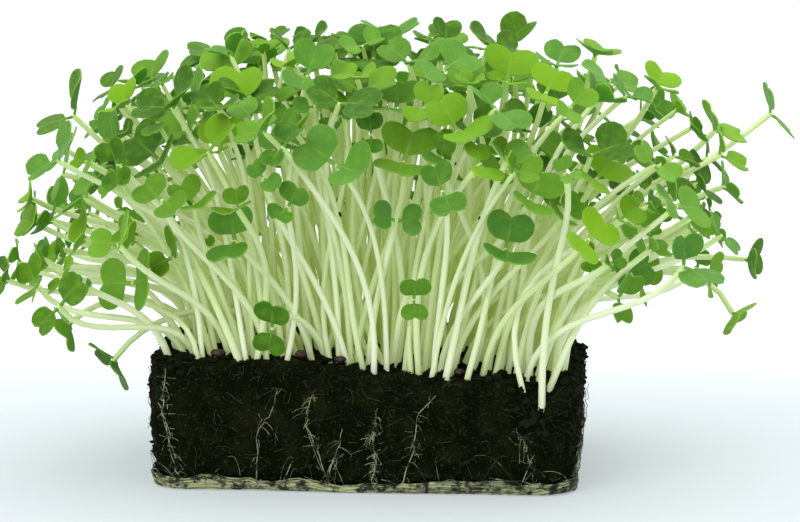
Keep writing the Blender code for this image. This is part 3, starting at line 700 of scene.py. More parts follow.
def neighbour_sprout(draw, knot, foot, attempt):
    """A finer sprout: most reach the canopy, the late ones stay low, and those at the sides lean far out."""
    spread = HEAD_SCATTER + attempt * 0.3 * MM
    side = abs(foot.x) / (BLOCK_WIDTH / 2)
    late = draw.random() < (LATE_SHARE if foot.y > 0 or side > LATE_SIDE else 0.0)
    x = foot.x * (HEAD_OUT[0] + HEAD_OUT_AT_SIDES * side * draw.random()) + draw.uniform(-1, 1) * spread
    y = foot.y * HEAD_OUT[1] + draw.uniform(-0.8, 1.0) * spread
    far = min(1.0, math.hypot(x / DOME[0], y / DOME[1]))
    top = STAND_TOP - (STAND_TOP - STAND_EDGE) * far ** STAND_ROUND
    if late:
        short = draw.uniform(*SHORT_LATE) * MM
        half_span = draw.uniform(*HALF_SPAN_LATE) * MM
    else:
        short = draw.random() ** 2.3 * (SHORT_REST + SHORT_REST_AT_SIDES * side) * MM
        half_span = draw.uniform(*HALF_SPAN_REST) * MM
    if foot.y < FRONT_ROW and side < 0.75:
        short *= 0.7
    half_span *= 1.0 - SHRINK_EACH_TRY * attempt
    z = top - short
    low, high = CAD_BOUNDS
    margin = half_span * 0.9
    x = max(low[0] + margin, -NEIGHBOUR_REACH, min(high[0] - margin, NEIGHBOUR_REACH, x))
    y = max(low[1] + margin, min(high[1] - margin, y))
    z = max(LOWEST_HEAD + RIGHT_LIFT * max(0.0, x), min(high[2] - 0.85 * half_span, z))
    lean = Vector((x - foot.x, y - foot.y, 0)) / LEAN_LENGTH
    bow = draw.uniform(-1.2, 0.1) if foot.y < -FRONT_ROW else draw.uniform(-0.8, 0.2)
    arrive = lean * (1.0 + 0.7 * side) + Vector((draw.uniform(-0.5, 0.5), bow, 1.0))
    steepness = draw.uniform(0.7, 3.4) + 2.0 * side * side
    blades = []
    for length, half_width, stalk, fold, curl in draw_blades(draw, half_span):
        narrow = draw.uniform(0.78, 1.0)
        fold += draw.uniform(0.0, 0.3)
        curl += draw.uniform(-0.1, 0.15)
        blades.append((length, half_width * narrow, stalk, fold, curl))
    return {
        "knot": knot,
        "foot": foot,
        "head": Vector((x, y, z)),
        "arrive": arrive.normalized(),
        "turn": draw.uniform(-math.pi / 2, math.pi / 2),
        "raised": (draw.uniform(0.05, 0.9), draw.uniform(0.05, 0.9)),
        "blades": blades,
        "slim": draw.uniform(0.78, 1.08),
        "steepness": steepness,
        "stretch": 1.0 + draw.uniform(0.1, 0.8) * side,
        "slant": (draw.gauss(0, 0.55), draw.gauss(0, 0.3)),
        "marked": False,
    }


def grow_neighbours(tufts, pairs, trees, rounds):
    """More sprouts round each tuft, as long as they find room for their feet and their leaves."""
    draw = random.Random(NEIGHBOUR_SEED)
    feet = [foot.xy for pair in pairs for foot in pair]
    for _ in range(rounds):
        for tuft, pair in enumerate(pairs):
            middle = (pair[0] + pair[1]) / 2
            for attempt in range(NEIGHBOUR_TRIES):
                x = middle.x + draw.uniform(-FOOT_JITTER, FOOT_JITTER) * TUFT_PITCH[0]
                y = middle.y + draw.uniform(-FOOT_JITTER, FOOT_JITTER) * TUFT_PITCH[1]
                spot = Vector((x, y))
                _, _, near = way_of(spot)
                if near > 1.0 - FOOT_EDGE / CORNER_RADIUS:
                    continue
                if any((spot - other).length < FOOT_ROOM for other in feet):
                    continue
                foot = Vector((x, y, soil_top(x, y)))
                knot = foot - Vector((0, 0, KNOT_DEPTH / 2))
                sprout = neighbour_sprout(draw, knot, foot, attempt)
                fat = room_tree(sprout, NEIGHBOUR_GROW)
                if not any(fat.overlap(tree) for tree in trees):
                    trees.append(room_tree(sprout, 0.0))
                    feet.append(spot)
                    tufts[tuft].append(sprout)
                    break


# Materials

class Recipe:
    """A material's node tree, with short calls to add and link nodes."""

    def __init__(self, name, colour):
        self.material = bpy.data.materials.new(name)
        self.material.use_nodes = True
        self.material.diffuse_color = (*colour, 1.0)
        self.tree = self.material.node_tree
        self.shader = self.tree.nodes["Principled BSDF"]

    def node(self, kind, inputs=None, **settings):
        made = self.tree.nodes.new(kind)
        for key, value in settings.items():
            setattr(made, key, value)
        for key, value in (inputs or {}).items():
            self.feed(made.inputs[key], value)
        return made

    def feed(self, socket, value):
        if isinstance(value, bpy.types.NodeSocket):
            self.tree.links.new(value, socket)
        else:
            socket.default_value = value

    def set(self, **values):
        for key, value in values.items():
            self.feed(self.shader.inputs[key.replace("_", " ")], value)

    def object_place(self, scale=(1.0, 1.0, 1.0)):
        place = self.node("ShaderNodeTexCoord").outputs["Object"]
        if scale == (1.0, 1.0, 1.0):
            return place
        return self.node("ShaderNodeMapping", {"Vector": place, "Scale": scale}).outputs["Vector"]

    def noise(self, place, scale, detail=3.0, roughness=0.55):
        values = {"Vector": place, "Scale": scale, "Detail": detail, "Roughness": roughness}
        return self.node("ShaderNodeTexNoise", values).outputs["Fac"]

    def math(self, operation, first, second=0.0):
        made = self.node("ShaderNodeMath", {0: first, 1: second}, operation=operation)
        return made.outputs["Value"]

    def span(self, value, low, high, to_low=0.0, to_high=1.0):
        values = {"Value": value, "From Min": low, "From Max": high, "To Min": to_low, "To Max": to_high}
        return self.node("ShaderNodeMapRange", values, interpolation_type="SMOOTHSTEP").outputs["Result"]

    def mix(self, share, first, second):
        made = self.node("ShaderNodeMix", {"Factor": share}, data_type="RGBA")
        for socket, value in ((made.inputs[6], first), (made.inputs[7], second)):
            if isinstance(value, bpy.types.NodeSocket):
                self.feed(socket, value)
            else:
                socket.default_value = (*value, 1.0)
        return made.outputs[2]

    def uv_parts(self, name):
        uv = self.node("ShaderNodeUVMap", uv_map=name).outputs["UV"]
        parts = self.node("ShaderNodeSeparateXYZ", {"Vector": uv})
        return parts.outputs["X"], parts.outputs["Y"]

    def bump(self, height, strength, distance):
        values = {"Height": height, "Strength": strength, "Distance": distance}
        self.set(Normal=self.node("ShaderNodeBump", values).outputs["Normal"])


def soil_material(settings):
    dark = tuple(settings.soil_dark)
    brown = tuple(settings.soil_brown)
    recipe = Recipe("soil_peat", dark)
    place = recipe.object_place()
    patches = recipe.noise(place, 140.0, 4.0)
    grains = recipe.noise(place, 1500.0, 4.0, 0.7)
    colour = recipe.mix(recipe.span(patches, 0.42, 0.68), dark, brown)
    speck = recipe.span(grains, 0.56, 0.72)
    colour = recipe.mix(recipe.math("MULTIPLY", speck, 0.8), colour, (0.060, 0.072, 0.026))
    recipe.set(Base_Color=colour, Roughness=0.95, Specular_IOR_Level=0.05)
    lumps = recipe.math("ADD", grains, recipe.math("MULTIPLY", patches, 2.0))
    recipe.bump(lumps, 1.0, 0.0008)
    return recipe.material


def crumb_material(settings):
    recipe = Recipe("soil_crumb", tuple(settings.soil_brown))
    tone, _ = recipe.uv_parts("tint")
    place = recipe.object_place()
    colour = recipe.mix(tone, tuple(settings.soil_dark), (0.036, 0.037, 0.014))
    grains = recipe.noise(place, 1800.0)
    colour = recipe.mix(recipe.math("MULTIPLY", grains, 0.3), colour, (0.024, 0.022, 0.010))
    recipe.set(Base_Color=colour, Roughness=0.95, Specular_IOR_Level=0.12)
    recipe.bump(grains, 0.6, 0.0003)
    return recipe.material


def fibre_material():
    recipe = Recipe("peat_fibre", (0.22, 0.17, 0.10))
    tone, _ = recipe.uv_parts("tint")
    place = recipe.object_place()
    colour = recipe.mix(tone, (0.012, 0.011, 0.004), (0.10, 0.095, 0.05))
    colour = recipe.mix(recipe.noise(place, 900.0), colour, (0.020, 0.017, 0.007))
    recipe.set(Base_Color=colour, Roughness=0.8, Specular_IOR_Level=0.2)
    return recipe.material


def felt_material(settings):
    pale = tuple(settings.root_colour)
    recipe = Recipe("root_felt", pale)
    place = recipe.object_place((1.0, 1.0, 5.0))
    strands = recipe.noise(place, 480.0, 5.0, 0.65)
    stains = recipe.noise(recipe.object_place(), 125.0, 4.0, 0.6)
    colour = recipe.mix(recipe.span(strands, 0.40, 0.60), tuple(0.22 * part for part in pale), pale)
    parts = recipe.node("ShaderNodeSeparateXYZ", {"Vector": recipe.object_place()})
    stains = recipe.math("ADD", stains, recipe.span(parts.outputs["X"], 0.0, 0.03, 0.0, 0.04))
    colour = recipe.mix(recipe.span(stains, 0.46, 0.58), colour, tuple(settings.soil_brown))
    recipe.set(Base_Color=colour, Roughness=0.85)
    recipe.bump(strands, 0.9, 0.0006)
    return recipe.material


def thread_material(settings):
    pale = tuple(settings.root_colour)
    recipe = Recipe("root_thread", pale)
    tone, _ = recipe.uv_parts("tint")
    place = recipe.object_place()
    colour = recipe.mix(tone, tuple(0.18 * part for part in pale), pale)
    parts = recipe.node("ShaderNodeSeparateXYZ", {"Vector": place})
    dirt = recipe.math("ADD", recipe.noise(place, 420.0, 4.0, 0.65),
                       recipe.span(parts.outputs["X"], 0.0, 0.04, 0.0, 0.05))
    buried = recipe.span(dirt, 0.44, 0.60)
    colour = recipe.mix(buried, colour, tuple(settings.soil_brown))
    recipe.set(Base_Color=colour, Roughness=0.6, Subsurface_Weight=0.1)
    recipe.set(Subsurface_Radius=(0.001, 0.0008, 0.0005))
    return recipe.material


def husk_material():
    recipe = Recipe("seed_husk", (0.03, 0.015, 0.01))
    place = recipe.object_place()
    ribs = recipe.noise(place, 1300.0, 3.0)
    colour = recipe.mix(recipe.span(ribs, 0.4, 0.7), (0.012, 0.007, 0.005), (0.085, 0.035, 0.018))
    recipe.set(Base_Color=colour, Roughness=0.55)
    recipe.bump(ribs, 0.7, 0.0004)
    return recipe.material


def stem_material(settings):
    recipe = Recipe("sprout_stem", tuple(settings.stem_colour))
    _, along = recipe.uv_parts("leaf")
    tone, _ = recipe.uv_parts("tint")
    low = (0.84, 0.87, 0.68)
    mid = tuple(settings.stem_colour)
    high = (0.50, 0.70, 0.22)
    colour = recipe.mix(recipe.span(along, 0.0, 0.3), low, mid)
    colour = recipe.mix(recipe.span(along, 0.72, 1.0), colour, high)
    colour = recipe.mix(recipe.math("MULTIPLY", tone, 0.55), colour, (0.50, 0.66, 0.23))
    streaks = recipe.noise(recipe.object_place((1.0, 1.0, 0.15)), 700.0, 2.0)
    colour = recipe.mix(recipe.span(streaks, 0.55, 0.8, 0.0, 0.3), colour, (0.88, 0.90, 0.78))
    recipe.set(Base_Color=colour, Roughness=0.38, Subsurface_Weight=0.25)
    recipe.set(Subsurface_Radius=(0.0016, 0.0018, 0.0008), Subsurface_Scale=1.0)
    # Painted glow: a faint yellow-green emission on every stem stands in for light passing through and
    # between the stems.
    recipe.set(Emission_Color=(*settings.painted_stem_glow, 1.0), Emission_Strength=1.0)
    recipe.bump(streaks, 0.15, 0.0002)
    return recipe.material


def leaf_material(name, cool, warm, deep, rim_colour, glow):
    """A seed leaf's face: its tone runs from cool to warm or deep, sprout by sprout; rib and rim are pale."""
    recipe = Recipe(name, cool)
    across, along = recipe.uv_parts("leaf")
    tone, shade = recipe.uv_parts("tint")
    place = recipe.object_place()
    across = recipe.math("MULTIPLY", recipe.math("SUBTRACT", across, 0.5), 2.0)
    along = recipe.math("MULTIPLY", recipe.math("SUBTRACT", along, 0.5), 2.0)
    beside = recipe.math("ABSOLUTE", across)
    reach = recipe.math("SQRT", recipe.math("ADD", recipe.math("MULTIPLY", across, across),
                                            recipe.math("MULTIPLY", along, along)))
    # Partly painted sheen: the cool tone is partly the leaves' own blue-green and partly a bluish sheen of
    # light painted in.
    colour = recipe.mix(tone, cool, warm)
    # Partly painted shade: leaves darken at random toward deep green, partly their own deep green and partly
    # the shade under the canopy painted in.
    colour = recipe.mix(recipe.math("MULTIPLY", shade, 0.95), colour, deep)
    mottle = recipe.noise(place, 480.0, 4.0)
    colour = recipe.mix(recipe.span(mottle, 0.4, 0.75, 0.0, 0.3), colour, warm)
    rib = recipe.span(beside, 0.02, 0.07, 1.0, 0.0)
    rib = recipe.math("MULTIPLY", rib, recipe.span(along, -1.0, 0.7, 0.3, 0.05))
    colour = recipe.mix(rib, colour, rim_colour)
    slant = recipe.math("SUBTRACT", along, recipe.math("MULTIPLY", beside, 0.9))
    veins = recipe.math("SINE", recipe.math("MULTIPLY", slant, 15.0))
    veins = recipe.span(veins, 0.75, 1.0, 0.0, 0.05)
    colour = recipe.mix(veins, colour, rim_colour)
    colour = recipe.mix(recipe.span(reach, 0.94, 1.0, 0.0, 0.22), colour, rim_colour)
    recipe.set(Base_Color=colour, Roughness=0.5, Specular_IOR_Level=0.1, Subsurface_Weight=glow)
    recipe.set(Subsurface_Radius=(0.0008, 0.0014, 0.0002), Subsurface_Scale=1.0)
    recipe.bump(recipe.math("ADD", mottle, recipe.math("MULTIPLY", veins, 1.5)), 0.25, 0.0003)
    return recipe.material


def floor_material(settings):
    pale = tuple(settings.floor_colour)
    recipe = Recipe("pale_floor", pale)
    place = recipe.object_place()
    parts = recipe.node("ShaderNodeSeparateXYZ", {"Vector": place})
    back = recipe.span(parts.outputs["Y"], settings.fade_start, settings.fade_end)
    recipe.set(Base_Color=(*pale, 1.0), Roughness=0.7, Specular_IOR_Level=0.1)
    glow = recipe.span(back, 0.0, 1.0, settings.floor_glow, settings.fade_glow)
    recipe.set(Emission_Color=recipe.mix(back, (0.93, 1.0, 1.02), (1.0, 1.0, 1.0)), Emission_Strength=glow)
    return recipe.material


# Shaping

def deselect_all():
    if bpy.context.object is not None and bpy.context.object.mode != "OBJECT":
        bpy.ops.object.mode_set(mode="OBJECT")
    bpy.ops.object.select_all(action="DESELECT")


def select_where(item, kind, test):
    """In edit mode, select just the vertices, edges or faces that pass a test."""
    shell = bmesh.from_edit_mesh(item.data)
    for group in (shell.verts, shell.edges, shell.faces):
        for part in group:
            part.select_set(False)
    for part in {"VERT": shell.verts, "EDGE": shell.edges, "FACE": shell.faces}[kind]:
        if test(part):
            part.select_set(True)
    bmesh.update_edit_mesh(item.data)


def apply_place(item):
    deselect_all()
    item.select_set(True)
    bpy.context.view_layer.objects.active = item
    bpy.ops.object.transform_apply(location=True, rotation=True, scale=True)


def apply_modifiers(item):
    bpy.context.view_layer.objects.active = item
    for modifier in list(item.modifiers):
        bpy.ops.object.modifier_apply(modifier=modifier.name)


def displace(item, kind, size, strength, middle):
    """Push a skin in and out by a procedural pattern of a given size."""
    texture = bpy.data.textures.new(item.name + "_" + kind.lower(), kind)
    texture.noise_scale = size
    modifier = item.modifiers.new("Lumps", "DISPLACE")
    modifier.texture = texture
    modifier.texture_coords = "LOCAL"
    modifier.direction = "NORMAL"
    modifier.strength = strength
    modifier.mid_level = middle
    apply_modifiers(item)


class Pattern:
    """A shape that is modelled once and then laid down many times."""

    def __init__(self, item, discs=None):
        mesh = item.data
        self.verts = [vert.co.copy() for vert in mesh.vertices]
        self.faces = [tuple(face.vertices) for face in mesh.polygons]
        self.kinds = [face.material_index for face in mesh.polygons]
        self.discs = discs
        if discs is None:
            self.discs = [(0.5, 0.5)] * len(self.verts)
        bpy.data.objects.remove(item, do_unlink=True)


class Heap:
    """Points, faces, map places and materials of a piece that is made of many copies."""

    def __init__(self):
        self.verts = []
        self.faces = []
        self.kinds = []
        self.discs = []
        self.tints = []

    def add(self, places, pattern, tint, kind=0):
        first = len(self.verts)
        self.verts.extend(tuple(place) for place in places)
        for face, face_kind in zip(pattern.faces, pattern.kinds):
            self.faces.append(tuple(first + number for number in face))
            self.kinds.append(kind + face_kind)
            self.discs.extend(pattern.discs[number] for number in face)
            self.tints.extend([tint] * len(face))

    def make(self, name, materials, sharp_angle=math.radians(60)):
        mesh = bpy.data.meshes.new(name)
        mesh.from_pydata(self.verts, [], self.faces)
        for material in materials:
            mesh.materials.append(material)
        mesh.polygons.foreach_set("material_index", self.kinds)
        for uv_name, places in (("leaf", self.discs), ("tint", self.tints)):
            layer = mesh.uv_layers.new(name=uv_name)
            layer.data.foreach_set("uv", [part for place in places for part in place])
        mesh.shade_smooth()
        mesh.set_sharp_from_angle(angle=sharp_angle)
        mesh.validate()
        item = bpy.data.objects.new(name, mesh)
        bpy.context.scene.collection.objects.link(item)
        return item


def model_rod(sides, segments):
    """A round rod of unit radius and length along Z, cut into segments, with both ends closed."""
    deselect_all()
    bpy.ops.mesh.primitive_cylinder_add(vertices=sides, radius=1.0, depth=1.0, location=(0, 0, 0.5))
    rod = bpy.context.object
    apply_place(rod)
    bpy.ops.object.mode_set(mode="EDIT")
    select_where(rod, "EDGE", lambda edge: abs(edge.verts[0].co.z - edge.verts[1].co.z) > 0.5)
    bpy.ops.mesh.subdivide(number_cuts=segments - 1)
    bpy.ops.object.mode_set(mode="OBJECT")
    discs = []
    for vert in rod.data.vertices:
        around = math.atan2(vert.co.y, vert.co.x) / (2 * math.pi) + 0.5
        discs.append((around, vert.co.z))
    return Pattern(rod, discs)


def lay_rod(rod, line, radii):
    """The rod's points along a line: ring by ring, with a frame that doesn't twist."""
    last = len(line) - 1
    frames = []
    side = Vector((0.31, 0.17, 0.93)).cross(line[1] - line[0])
    if side.length < 1e-9:
        side = Vector((1, 0, 0))
    for step in range(last + 1):
        ahead = (line[min(step + 1, last)] - line[max(step - 1, 0)]).normalized()
        side = (side - ahead * side.dot(ahead)).normalized()
        frames.append((line[step], side, ahead.cross(side), radii[step]))
    places = []
    for vert in rod.verts:
        centre, side, across, radius = frames[round(vert.z * last)]
        places.append(centre + side * (vert.x * radius) + across * (vert.y * radius))
    return places


def model_crumb():
    """An angular crumb of about unit radius."""
    deselect_all()
    bpy.ops.mesh.primitive_ico_sphere_add(subdivisions=1, radius=1.0)
    crumb = bpy.context.object
    bpy.ops.object.mode_set(mode="EDIT")
    bpy.ops.mesh.select_all(action="SELECT")
    bpy.ops.transform.vertex_random(offset=0.36, seed=5)
    bpy.ops.object.mode_set(mode="OBJECT")
    return Pattern(crumb)


# Rim of a seed leaf, as a share of its disc's radius at each angle from its tip
LEAF_RIM = (
    (0, 0.56), (14, 0.82), (28, 1.06), (50, 1.10), (70, 1.03), (90, 1.0), (113, 1.0), (138, 1.05),
    (158, 1.04), (180, 1.0),
)


def rim_share(angle):
    """How far the leaf's rim stands out at an angle in degrees from its tip."""
    for (low, share), (high, next_share) in zip(LEAF_RIM, LEAF_RIM[1:]):
        if angle <= high:
            part = (angle - low) / (high - low)
            part = part * part * (3 - 2 * part)
            return share + (next_share - share) * part
    return LEAF_RIM[-1][1]


def model_blade(points, rings, thickness):
    """A flat, notched seed leaf on a stalk: a disc with rings and a hub, drawn out, notched and thickened."""
    deselect_all()
    bpy.ops.mesh.primitive_circle_add(vertices=points, radius=1.0, fill_type="NGON")
    blade = bpy.context.object
    bpy.ops.object.mode_set(mode="EDIT")
    bpy.ops.mesh.select_all(action="SELECT")
    for depth in rings:
        bpy.ops.mesh.inset(thickness=depth)
    bpy.ops.mesh.poke()
    bpy.ops.object.mode_set(mode="OBJECT")
    discs = [(vert.co.x, vert.co.y) for vert in blade.data.vertices]
    bpy.ops.object.mode_set(mode="EDIT")
    for step in range(points // 2 + 1):
        angle = 360.0 * step / points

        def on_spoke(vert):
            spoke = math.degrees(math.atan2(abs(vert.co.x), vert.co.y))
            return vert.co.length > 0.05 and abs(spoke - angle) < 1.0

        share = rim_share(angle)
        select_where(blade, "VERT", on_spoke)
        bpy.ops.transform.resize(value=(share, share, 1.0), center_override=(0, 0, 0))
    bpy.ops.mesh.select_all(action="SELECT")
    bpy.ops.transform.resize(value=(BLADE_HALF_WIDTH, BLADE_LENGTH / 2, 1.0), center_override=(0, 0, 0))
    bpy.ops.object.mode_set(mode="OBJECT")
    lowest = min(vert.co.y for vert in blade.data.vertices)
    rim_step = 2 * math.pi / points
    base = []
    for vert, disc in zip(blade.data.vertices, discs):
        turn = abs(math.atan2(disc[0], -disc[1]))
        if math.hypot(*disc) > 0.99 and turn < rim_step * 1.5:
            base.append(vert.index)
            if turn > 0.01:
                vert.co.x = math.copysign(BLADE_STALK_HALF, vert.co.x)
                vert.co.y = lowest + 0.1 * MM
        vert.co.y += BLADE_STALK
    bottom = set(base)
    bpy.ops.object.mode_set(mode="EDIT")
    select_where(blade, "EDGE", lambda edge: all(vert.index in bottom for vert in edge.verts))
    move = {"value": (0, -BLADE_STALK * 0.8, 0)}
    bpy.ops.mesh.extrude_edges_move(TRANSFORM_OT_translate=move)
    bpy.ops.transform.resize(value=(0.75, 1.0, 1.0), center_override=(0, 0, 0))
    bpy.ops.mesh.select_all(action="SELECT")
    bpy.ops.transform.translate(value=(0, -lowest, 0))
    bpy.ops.mesh.normals_make_consistent(inside=False)
    bpy.ops.object.mode_set(mode="OBJECT")
    flat_count = len(blade.data.vertices)
    while len(discs) < flat_count:
        discs.append((0.0, -1.0))
    if blade.data.polygons[0].normal.z < 0:
        blade.data.flip_normals()
    solid = blade.modifiers.new("Thickness", "SOLIDIFY")
    solid.thickness = thickness
    solid.offset = 0.0
    solid.material_offset = 1
    solid.material_offset_rim = 1
    for colour in ("upper", "under"):
        blade.data.materials.append(bpy.data.materials.new(colour))
    apply_modifiers(blade)
    discs = [(0.5 + 0.5 * x, 0.5 + 0.5 * y) for x, y in discs] * 2
    pattern = Pattern(blade, discs)
    for vert in pattern.verts:
        if vert.y < BLADE_STALK:
            vert.z *= 1.8
    for name in ("upper", "under"):
        bpy.data.materials.remove(bpy.data.materials[name])
    return pattern


# Pieces

def finish_piece(item, nodes=()):
    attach(item, "root")
    if nodes:
        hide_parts(*nodes)


class SproutSettings(bpy.types.PropertyGroup):
    rounds: bpy.props.IntProperty(
        name="Neighbours", description="Finer sprouts that are tried round each tuft",
        default=NEIGHBOUR_ROUNDS, min=0, max=20)
    stem_scale: bpy.props.FloatProperty(
        name="Stem thickness", description="Thickness of a stem against its solid",
        default=1.16, min=0.5, max=1.3, subtype="FACTOR")
    leaf_thickness: bpy.props.FloatProperty(
        name="Leaf thickness", description="Thickness of a seed leaf",
        default=0.34 * MM, unit="LENGTH", subtype="DISTANCE")
    # Partly the leaves' own blue-green, partly a painted bluish sheen of light.
    leaf_cool_and_sheen: bpy.props.FloatVectorProperty(
        name="Cool leaf", description="Blue-green of the older leaves",
        default=(0.086, 0.240, 0.034), size=3, subtype="COLOR", min=0, max=1)
    # Partly the leaves' own deep green, partly painted shade of leaves under the canopy.
    leaf_deep_and_shade: bpy.props.FloatVectorProperty(
        name="Deep leaf", description="Deep green of the thickest leaves",
        default=(0.028, 0.100, 0.001), size=3, subtype="COLOR", min=0, max=1)
    leaf_warm: bpy.props.FloatVectorProperty(
        name="Warm leaf", description="Yellow-green of the younger leaves",
        default=(0.190, 0.385, 0.010), size=3, subtype="COLOR", min=0, max=1)
    stem_colour: bpy.props.FloatVectorProperty(
        name="Stem", description="Colour of a stem half way up",
        default=(0.79, 0.85, 0.60), size=3, subtype="COLOR", min=0, max=1)
    # Painted glow: an emission on every stem that stands in for light passing through and between the stems.
    painted_stem_glow: bpy.props.FloatVectorProperty(
        name="Stem glow", description="Light that seeps through a stem from the stand round it",
        default=(0.050, 0.062, 0.008), size=3, subtype="COLOR", min=0, max=1)


class SoilSettings(bpy.types.PropertyGroup):
    grain: bpy.props.FloatProperty(
        name="Grain", description="Size of the cells that the soil's skin is made of",
        default=0.75 * MM, unit="LENGTH", subtype="DISTANCE")
    crumbs: bpy.props.IntProperty(
        name="Crumbs", description="Loose crumbs on the block", default=3600, min=0, max=9000)
    fibres: bpy.props.IntProperty(
        name="Fibres", description="Fine fibres that stand out of the soil", default=1500, min=0, max=3000)
    threads: bpy.props.IntProperty(
        name="Root threads", description="Fine threads of root along the foot", default=320, min=0, max=2000)
    soil_dark: bpy.props.FloatVectorProperty(
        name="Dark soil", description="Colour of damp soil",
        default=(0.0026, 0.0054, 0.0005), size=3, subtype="COLOR", min=0, max=1)
    soil_brown: bpy.props.FloatVectorProperty(
        name="Brown soil", description="Colour of drier soil",
        default=(0.0110, 0.0130, 0.0032), size=3, subtype="COLOR", min=0, max=1)
    root_colour: bpy.props.FloatVectorProperty(
        name="Roots", description="Colour of the roots",
        default=(0.52, 0.55, 0.29), size=3, subtype="COLOR", min=0, max=1)


class StageSettings(bpy.types.PropertyGroup):
    azimuth: bpy.props.FloatProperty(
        name="Azimuth", description="How far the camera stands to the right of the front",
        default=VIEW_AZIMUTH, unit="ROTATION", subtype="ANGLE")
    elevation: bpy.props.FloatProperty(
        name="Elevation", description="How far the camera looks down",
        default=VIEW_ELEVATION, unit="ROTATION", subtype="ANGLE")
    distance: bpy.props.FloatProperty(
        name="Distance", description="Camera to the middle of the object",
        default=VIEW_DISTANCE, unit="LENGTH", subtype="DISTANCE")
    lens: bpy.props.FloatProperty(
        name="Lens", description="Focal length in millimetres", default=VIEW_LENS, min=20, max=300)
    floor_colour: bpy.props.FloatVectorProperty(
        name="Floor", description="Colour of the floor",
        default=(0.345, 0.375, 0.392), size=3, subtype="COLOR", min=0, max=1)
    floor_glow: bpy.props.FloatProperty(
        name="Floor glow", description="Light that fills the shadow on the floor", default=0.37, min=0, max=3)
    fade_start: bpy.props.FloatProperty(
        name="Fade start", description="Depth where the floor starts to fade to white",
        default=0.0, unit="LENGTH", subtype="DISTANCE")
    fade_end: bpy.props.FloatProperty(
        name="Fade end", description="Depth where the floor is all white",
        default=0.32, unit="LENGTH", subtype="DISTANCE")
    fade_glow: bpy.props.FloatProperty(
        name="Fade glow", description="Light that the white part of the floor adds",
        default=0.66, min=0, max=3)


FLOOR_SIZE = 14.0
SKY_COLOUR = (0.93, 0.96, 1.0, 1.0)
SKY_STRENGTH = 0.98
LAMP_COLOUR = (1.0, 0.99, 0.96)
NEAREST_SEEN = 0.02
# Lamps: name, place, width, power and the place that each shines on
LAMPS = (
    ("overhead", (0.1, 0.05, 1.2), 1.6, 10.0, (0.05, 0.0, 0.05)),
    ("front_left", (-0.6, -1.0, 0.8), 0.9, 6.5, (0.0, 0.0, 0.05)),
    ("back_right", (0.6, 0.8, 0.7), 0.8, 1.2, (0.0, 0.0, 0.06)),
)


class LayStage(bpy.types.Operator):
    """Lay the pale floor, hang the lights and set up the camera"""
    bl_idname = "sprout_block.lay_stage"
    bl_label = "Stage"

    def execute(self, context):
        settings = context.scene.sprout_stage
        deselect_all()
        bpy.ops.mesh.primitive_plane_add(size=FLOOR_SIZE, location=(0, 0, 0))
        floor = context.object
        floor.name = "floor"
        floor.data.materials.append(floor_material(settings))

        world = bpy.data.worlds.new("studio")
        world.use_nodes = True
        background = world.node_tree.nodes["Background"]
        background.inputs["Color"].default_value = SKY_COLOUR
        background.inputs["Strength"].default_value = SKY_STRENGTH
        context.scene.world = world

        for name, place, size, power, target in LAMPS:
            lamp = bpy.data.lights.new(name, "AREA")
            lamp.shape = "DISK"
            lamp.size = size
            lamp.energy = power
            lamp.color = LAMP_COLOUR
            item = bpy.data.objects.new(name, lamp)
            context.scene.collection.objects.link(item)
            item.location = place
            item.rotation_euler = (Vector(place) - Vector(target)).to_track_quat("Z", "Y").to_euler()

        ahead = Vector(view_axes(settings.azimuth, settings.elevation)[0])
        target = Vector(VIEW_TARGET)
        camera = bpy.data.cameras.new("camera")
        camera.lens = settings.lens
        camera.sensor_width = SENSOR_WIDTH
        camera.clip_start = NEAREST_SEEN
        item = bpy.data.objects.new("camera", camera)
        context.scene.collection.objects.link(item)
        item.location = target - ahead * settings.distance
        item.rotation_euler = (-ahead).to_track_quat("Z", "Y").to_euler()
        context.scene.camera = item
        context.scene.view_settings.view_transform = "Standard"
        return {"FINISHED"}


def rounded_slab(name, low, high, radius, rim, cell):
    """A slab with rounded upright corners and a softened upper rim, cut into even cells."""
    deselect_all()
    size = Vector(high) - Vector(low)
    middle = (Vector(high) + Vector(low)) / 2
    bpy.ops.mesh.primitive_cube_add(size=1.0, location=middle, scale=size)
    slab = bpy.context.object
    slab.name = name
    apply_place(slab)
    bpy.ops.object.mode_set(mode="EDIT")
    select_where(slab, "EDGE", lambda edge: abs(edge.verts[0].co.z - edge.verts[1].co.z) > 1e-5)
    bpy.ops.mesh.bevel(offset=radius, segments=8, affect="EDGES", offset_type="OFFSET")
    top = high[2] - 1e-6
    select_where(slab, "EDGE", lambda edge: all(vert.co.z > top for vert in edge.verts))
    bpy.ops.mesh.bevel(offset=rim, segments=3, affect="EDGES")
    bpy.ops.object.mode_set(mode="OBJECT")
    slab.data.remesh_voxel_size = cell
    bpy.ops.object.voxel_remesh()
    return slab


